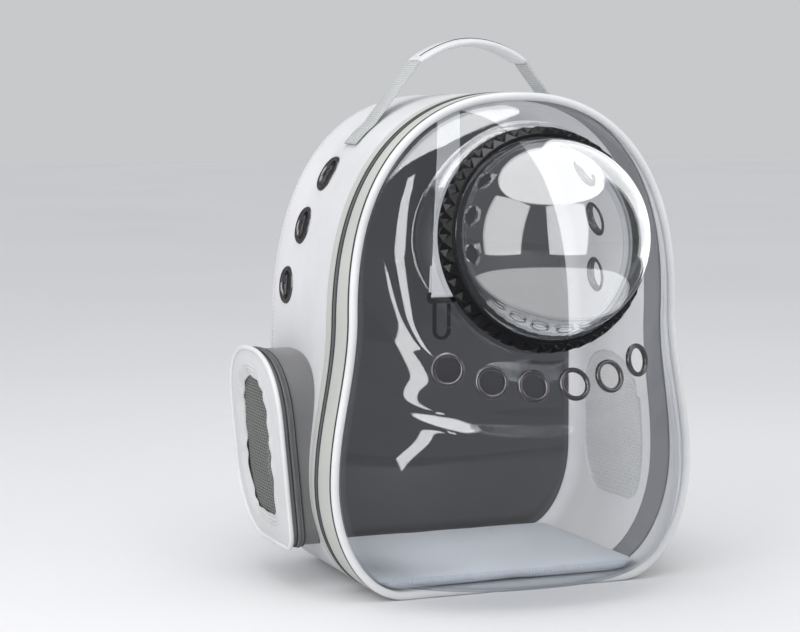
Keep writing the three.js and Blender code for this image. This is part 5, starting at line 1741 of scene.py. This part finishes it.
def slider(name, step, node):
    middle_y = zip_y(step)
    point = skin(step, middle_y, 0.001 - GAP - SLIDER_THICKNESS / 2)
    outward = Vector(skin(step, middle_y, -0.01) - skin(step, middle_y, 0.01)).normalized()
    up = Vector(skin(step + 0.05, middle_y, 0) - skin(step - 0.05, middle_y, 0)).normalized()
    across = up.cross(outward).normalized()
    place = Matrix((across, outward, up)).transposed().to_4x4()
    place.translation = Vector(point)
    wedge = [
        (-SLIDER_WIDTH / 2, SLIDER_LENGTH / 2 - 0.001),
        (-SLIDER_WIDTH / 2 + 0.0012, SLIDER_LENGTH / 2),
        (SLIDER_WIDTH / 2 - 0.0012, SLIDER_LENGTH / 2),
        (SLIDER_WIDTH / 2, SLIDER_LENGTH / 2 - 0.001),
        (SLIDER_WIDTH * 0.3, -SLIDER_LENGTH / 2),
        (-SLIDER_WIDTH * 0.3, -SLIDER_LENGTH / 2),
    ]
    body = applied(plate(name, wedge, SLIDER_THICKNESS * 0.8, 0.0006, gunmetal, place))
    bridge_place = place @ Matrix.Rotation(math.pi / 2, 4, "Z")
    bridge_loop = np.array([(0, -0.004), (0.0014, -0.002), (0.0014, 0.002), (0, 0.004)])
    bridge_loop += (SLIDER_THICKNESS * 0.4, 0)
    bridge = applied(plate("bridge", bridge_loop, 0.0022, 0.0003, gunmetal, bridge_place))
    hang = Matrix.Translation(place @ Vector((0, SLIDER_THICKNESS / 2, 0)))
    hang = hang @ Matrix((across, outward, across.cross(outward))).transposed().to_4x4()
    tab = rounded_loop(PULL_WIDTH, PULL_LENGTH, 0.0022, 6) - (0, PULL_LENGTH / 2 - 0.003)
    pull = plate("pull", tab, 0.0014, 0, gunmetal, hang)
    hole = rounded_loop(PULL_WIDTH * 0.5, 0.007, 0.0013, 5) - (0, PULL_LENGTH - 0.008)
    carve(pull, [plate("tool", hole, 0.02, 0, gunmetal, hang)])
    applied(softened(pull, 0.0003, 2, harden=False))
    return settle(joined(name, [body, bridge, pull]), "root", "gunmetal", node)


for number, step in enumerate(SLIDER_STEPS, 1):
    slider(f"main_zip_slider_{number}", step, f"zip_slider_{number}")

# Seams sewn along the body
for name, y in (
    ("zip_seam_stitches", zip_middle + ZIP_WIDTH / 2 + 0.0052),
    ("rear_seam_stitches", REAR_Y - REAR_ROUND - 0.002),
):
    line, under = skin(round_steps, y, -0.0001), skin(round_steps, y, 0.002)
    stitches(name, [(line, line - under, True)], slot="fabric")


# Floor, lights and camera
floor = make_piece("floor", [(-9, -9, 0), (9, -9, 0), (9, 9, 0), (-9, 9, 0)], [(0, 1, 2, 3)], floor_finish)
floor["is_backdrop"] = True


def soft_box(name, azimuth, elevation, size, radiance, aim=(0, 0, 0.22), distance=1.7, roll=0, only=()):
    """A softbox seen from aim in a direction, 0 being straight in front and negative to the left.

    A box named for some pieces only is a reflector that lights no other piece.
    """
    azimuth, elevation = math.radians(azimuth), math.radians(elevation)
    level = math.cos(elevation)
    heading = Vector((math.sin(azimuth) * level, -math.cos(azimuth) * level, math.sin(elevation)))
    data = bpy.data.lights.new(name, "AREA")
    data.shape, data.size, data.size_y = "RECTANGLE", *size
    data.energy = radiance * math.pi * size[0] * size[1]
    lamp = bpy.data.objects.new(name, data)
    lamp.location = Vector(aim) + heading * distance
    turned_box = heading.to_track_quat("Z", "Y").to_matrix() @ Matrix.Rotation(math.radians(roll), 3, "Z")
    lamp.rotation_euler = turned_box.to_euler()
    bpy.context.scene.collection.objects.link(lamp)
    if only:
        lit = bpy.data.collections.new(f"{name}_pieces")
        for piece in only:
            lit.objects.link(piece)
        lamp.light_linking.receiver_collection = lit
    return lamp


BUBBLE_AIM, FRONT_AIM = (0, -0.18, 0.3), (0, -0.1, 0.25)
cloth_pieces = [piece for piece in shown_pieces() if piece not in (clear_front, bubble_dome)] + [floor]
soft_box("top_box", -20, 72, (1.6, 1.6), 1.3, only=cloth_pieces)
soft_box("left_box", -62, 22, (1.2, 1.6), 1.7, only=cloth_pieces)
soft_box("right_box", 60, 20, (0.9, 1.3), 0.8, only=cloth_pieces)
soft_box("ring_left_box", -95, 35, (0.5, 0.9), 2, BUBBLE_AIM, 1.3, only=(bubble_ring,))
soft_box("ring_top_box", -30, 75, (1.2, 0.6), 4, BUBBLE_AIM, 1.3, only=(bubble_ring,))
cap = soft_box("bubble_cap", -10, 86, (2.5, 2.3), 2.3, BUBBLE_AIM, 1.2, only=(bubble_dome,))
cap.data.shape = "ELLIPSE"
dome = (bubble_dome,)
left_window = soft_box("bubble_left_window", -80, 14, (0.58, 0.69), 2.3, BUBBLE_AIM, 0.65, only=dome)
right_window = soft_box("bubble_right_window", -5, 14, (0.54, 0.69), 2.3, BUBBLE_AIM, 0.65, only=dome)
soft_box("bubble_edge", 125, 20, (1.2, 2.4), 2.6, BUBBLE_AIM, 1.2, only=(bubble_dome,))
low_disc = soft_box("bubble_low_disc", 0, -90, (0.86, 0.86), 1.1, BUBBLE_AIM, 0.22, only=(bubble_dome,))
low_disc.data.shape = "ELLIPSE"
soft_box("front_top", -130, 72, (2.5, 1.4), 5, FRONT_AIM, 1.2, only=(clear_front,))
soft_box("front_strip", -59, 2, (0.13, 0.78), 4.5, FRONT_AIM, 1.5, roll=-48, only=(clear_front,))
soft_box("front_strip_top", -41, 19.5, (0.12, 0.33), 4.5, FRONT_AIM, 1.5, only=(clear_front,))
inside = [*inner_pieces, floor_mat, leash]
inner_fill = soft_box("inner_fill", -70, 5, (0.16, 0.24), 3.2, (0, 0, 0.2), 0.1, only=inside)
for lamp in (cap, left_window, right_window, low_disc, inner_fill):
    lamp.visible_camera = False
inner_fill.visible_glossy = False

# The backdrop is pale to the eye and dimmer in the reflections
world = bpy.data.worlds.new("studio")
bpy.context.scene.world = world
world.use_nodes = True
tree = world.node_tree
path = add(tree, "ShaderNodeLightPath").outputs
strength = calc(tree, "MULTIPLY_ADD", path["Is Camera Ray"], -0.21, 0.85)
strength = calc(tree, "MULTIPLY_ADD", path["Is Glossy Ray"], -0.6, strength)
backdrop = tree.nodes["Background"]
backdrop.inputs["Color"].default_value = (0.9, 0.91, 0.93, 1)
tree.links.new(strength, backdrop.inputs["Strength"])
tree = floor_finish.node_tree
dim = calc(tree, "MULTIPLY", add(tree, "ShaderNodeLightPath").outputs["Is Glossy Ray"], 0.75)
dark = add(tree, "ShaderNodeBsdfDiffuse", {"Color": (0.05, 0.05, 0.05, 1)})
bright = tree.nodes["Principled BSDF"]
both = add(tree, "ShaderNodeMixShader", {0: dim, 1: bright.outputs[0], 2: dark.outputs[0]})
tree.links.new(both.outputs[0], tree.nodes["Material Output"].inputs["Surface"])

CAMERA_PLACE = Vector((-0.80824, -1.85785, 0.43641))
CAMERA_AIM = Vector((0.40412, 0.90767, -0.11320)) * 2322.4
turn, lift = math.radians(24), math.radians(6.5)
CAMERA_AIM -= 89.07 * Vector((math.cos(turn), -math.sin(turn), 0))
CAMERA_AIM += 20.29 * Vector(
    (math.sin(turn) * math.sin(lift), math.cos(turn) * math.sin(lift), math.cos(lift))
)
lens = bpy.data.cameras.new("photo_camera")
lens.lens, lens.sensor_width = 104.51, 36
camera = bpy.data.objects.new("photo_camera", lens)
camera.location = CAMERA_PLACE
camera.rotation_euler = CAMERA_AIM.to_track_quat("-Z", "Y").to_euler()
bpy.context.scene.collection.objects.link(camera)
bpy.context.scene.camera = camera
bpy.context.scene.view_settings.view_transform = "Standard"
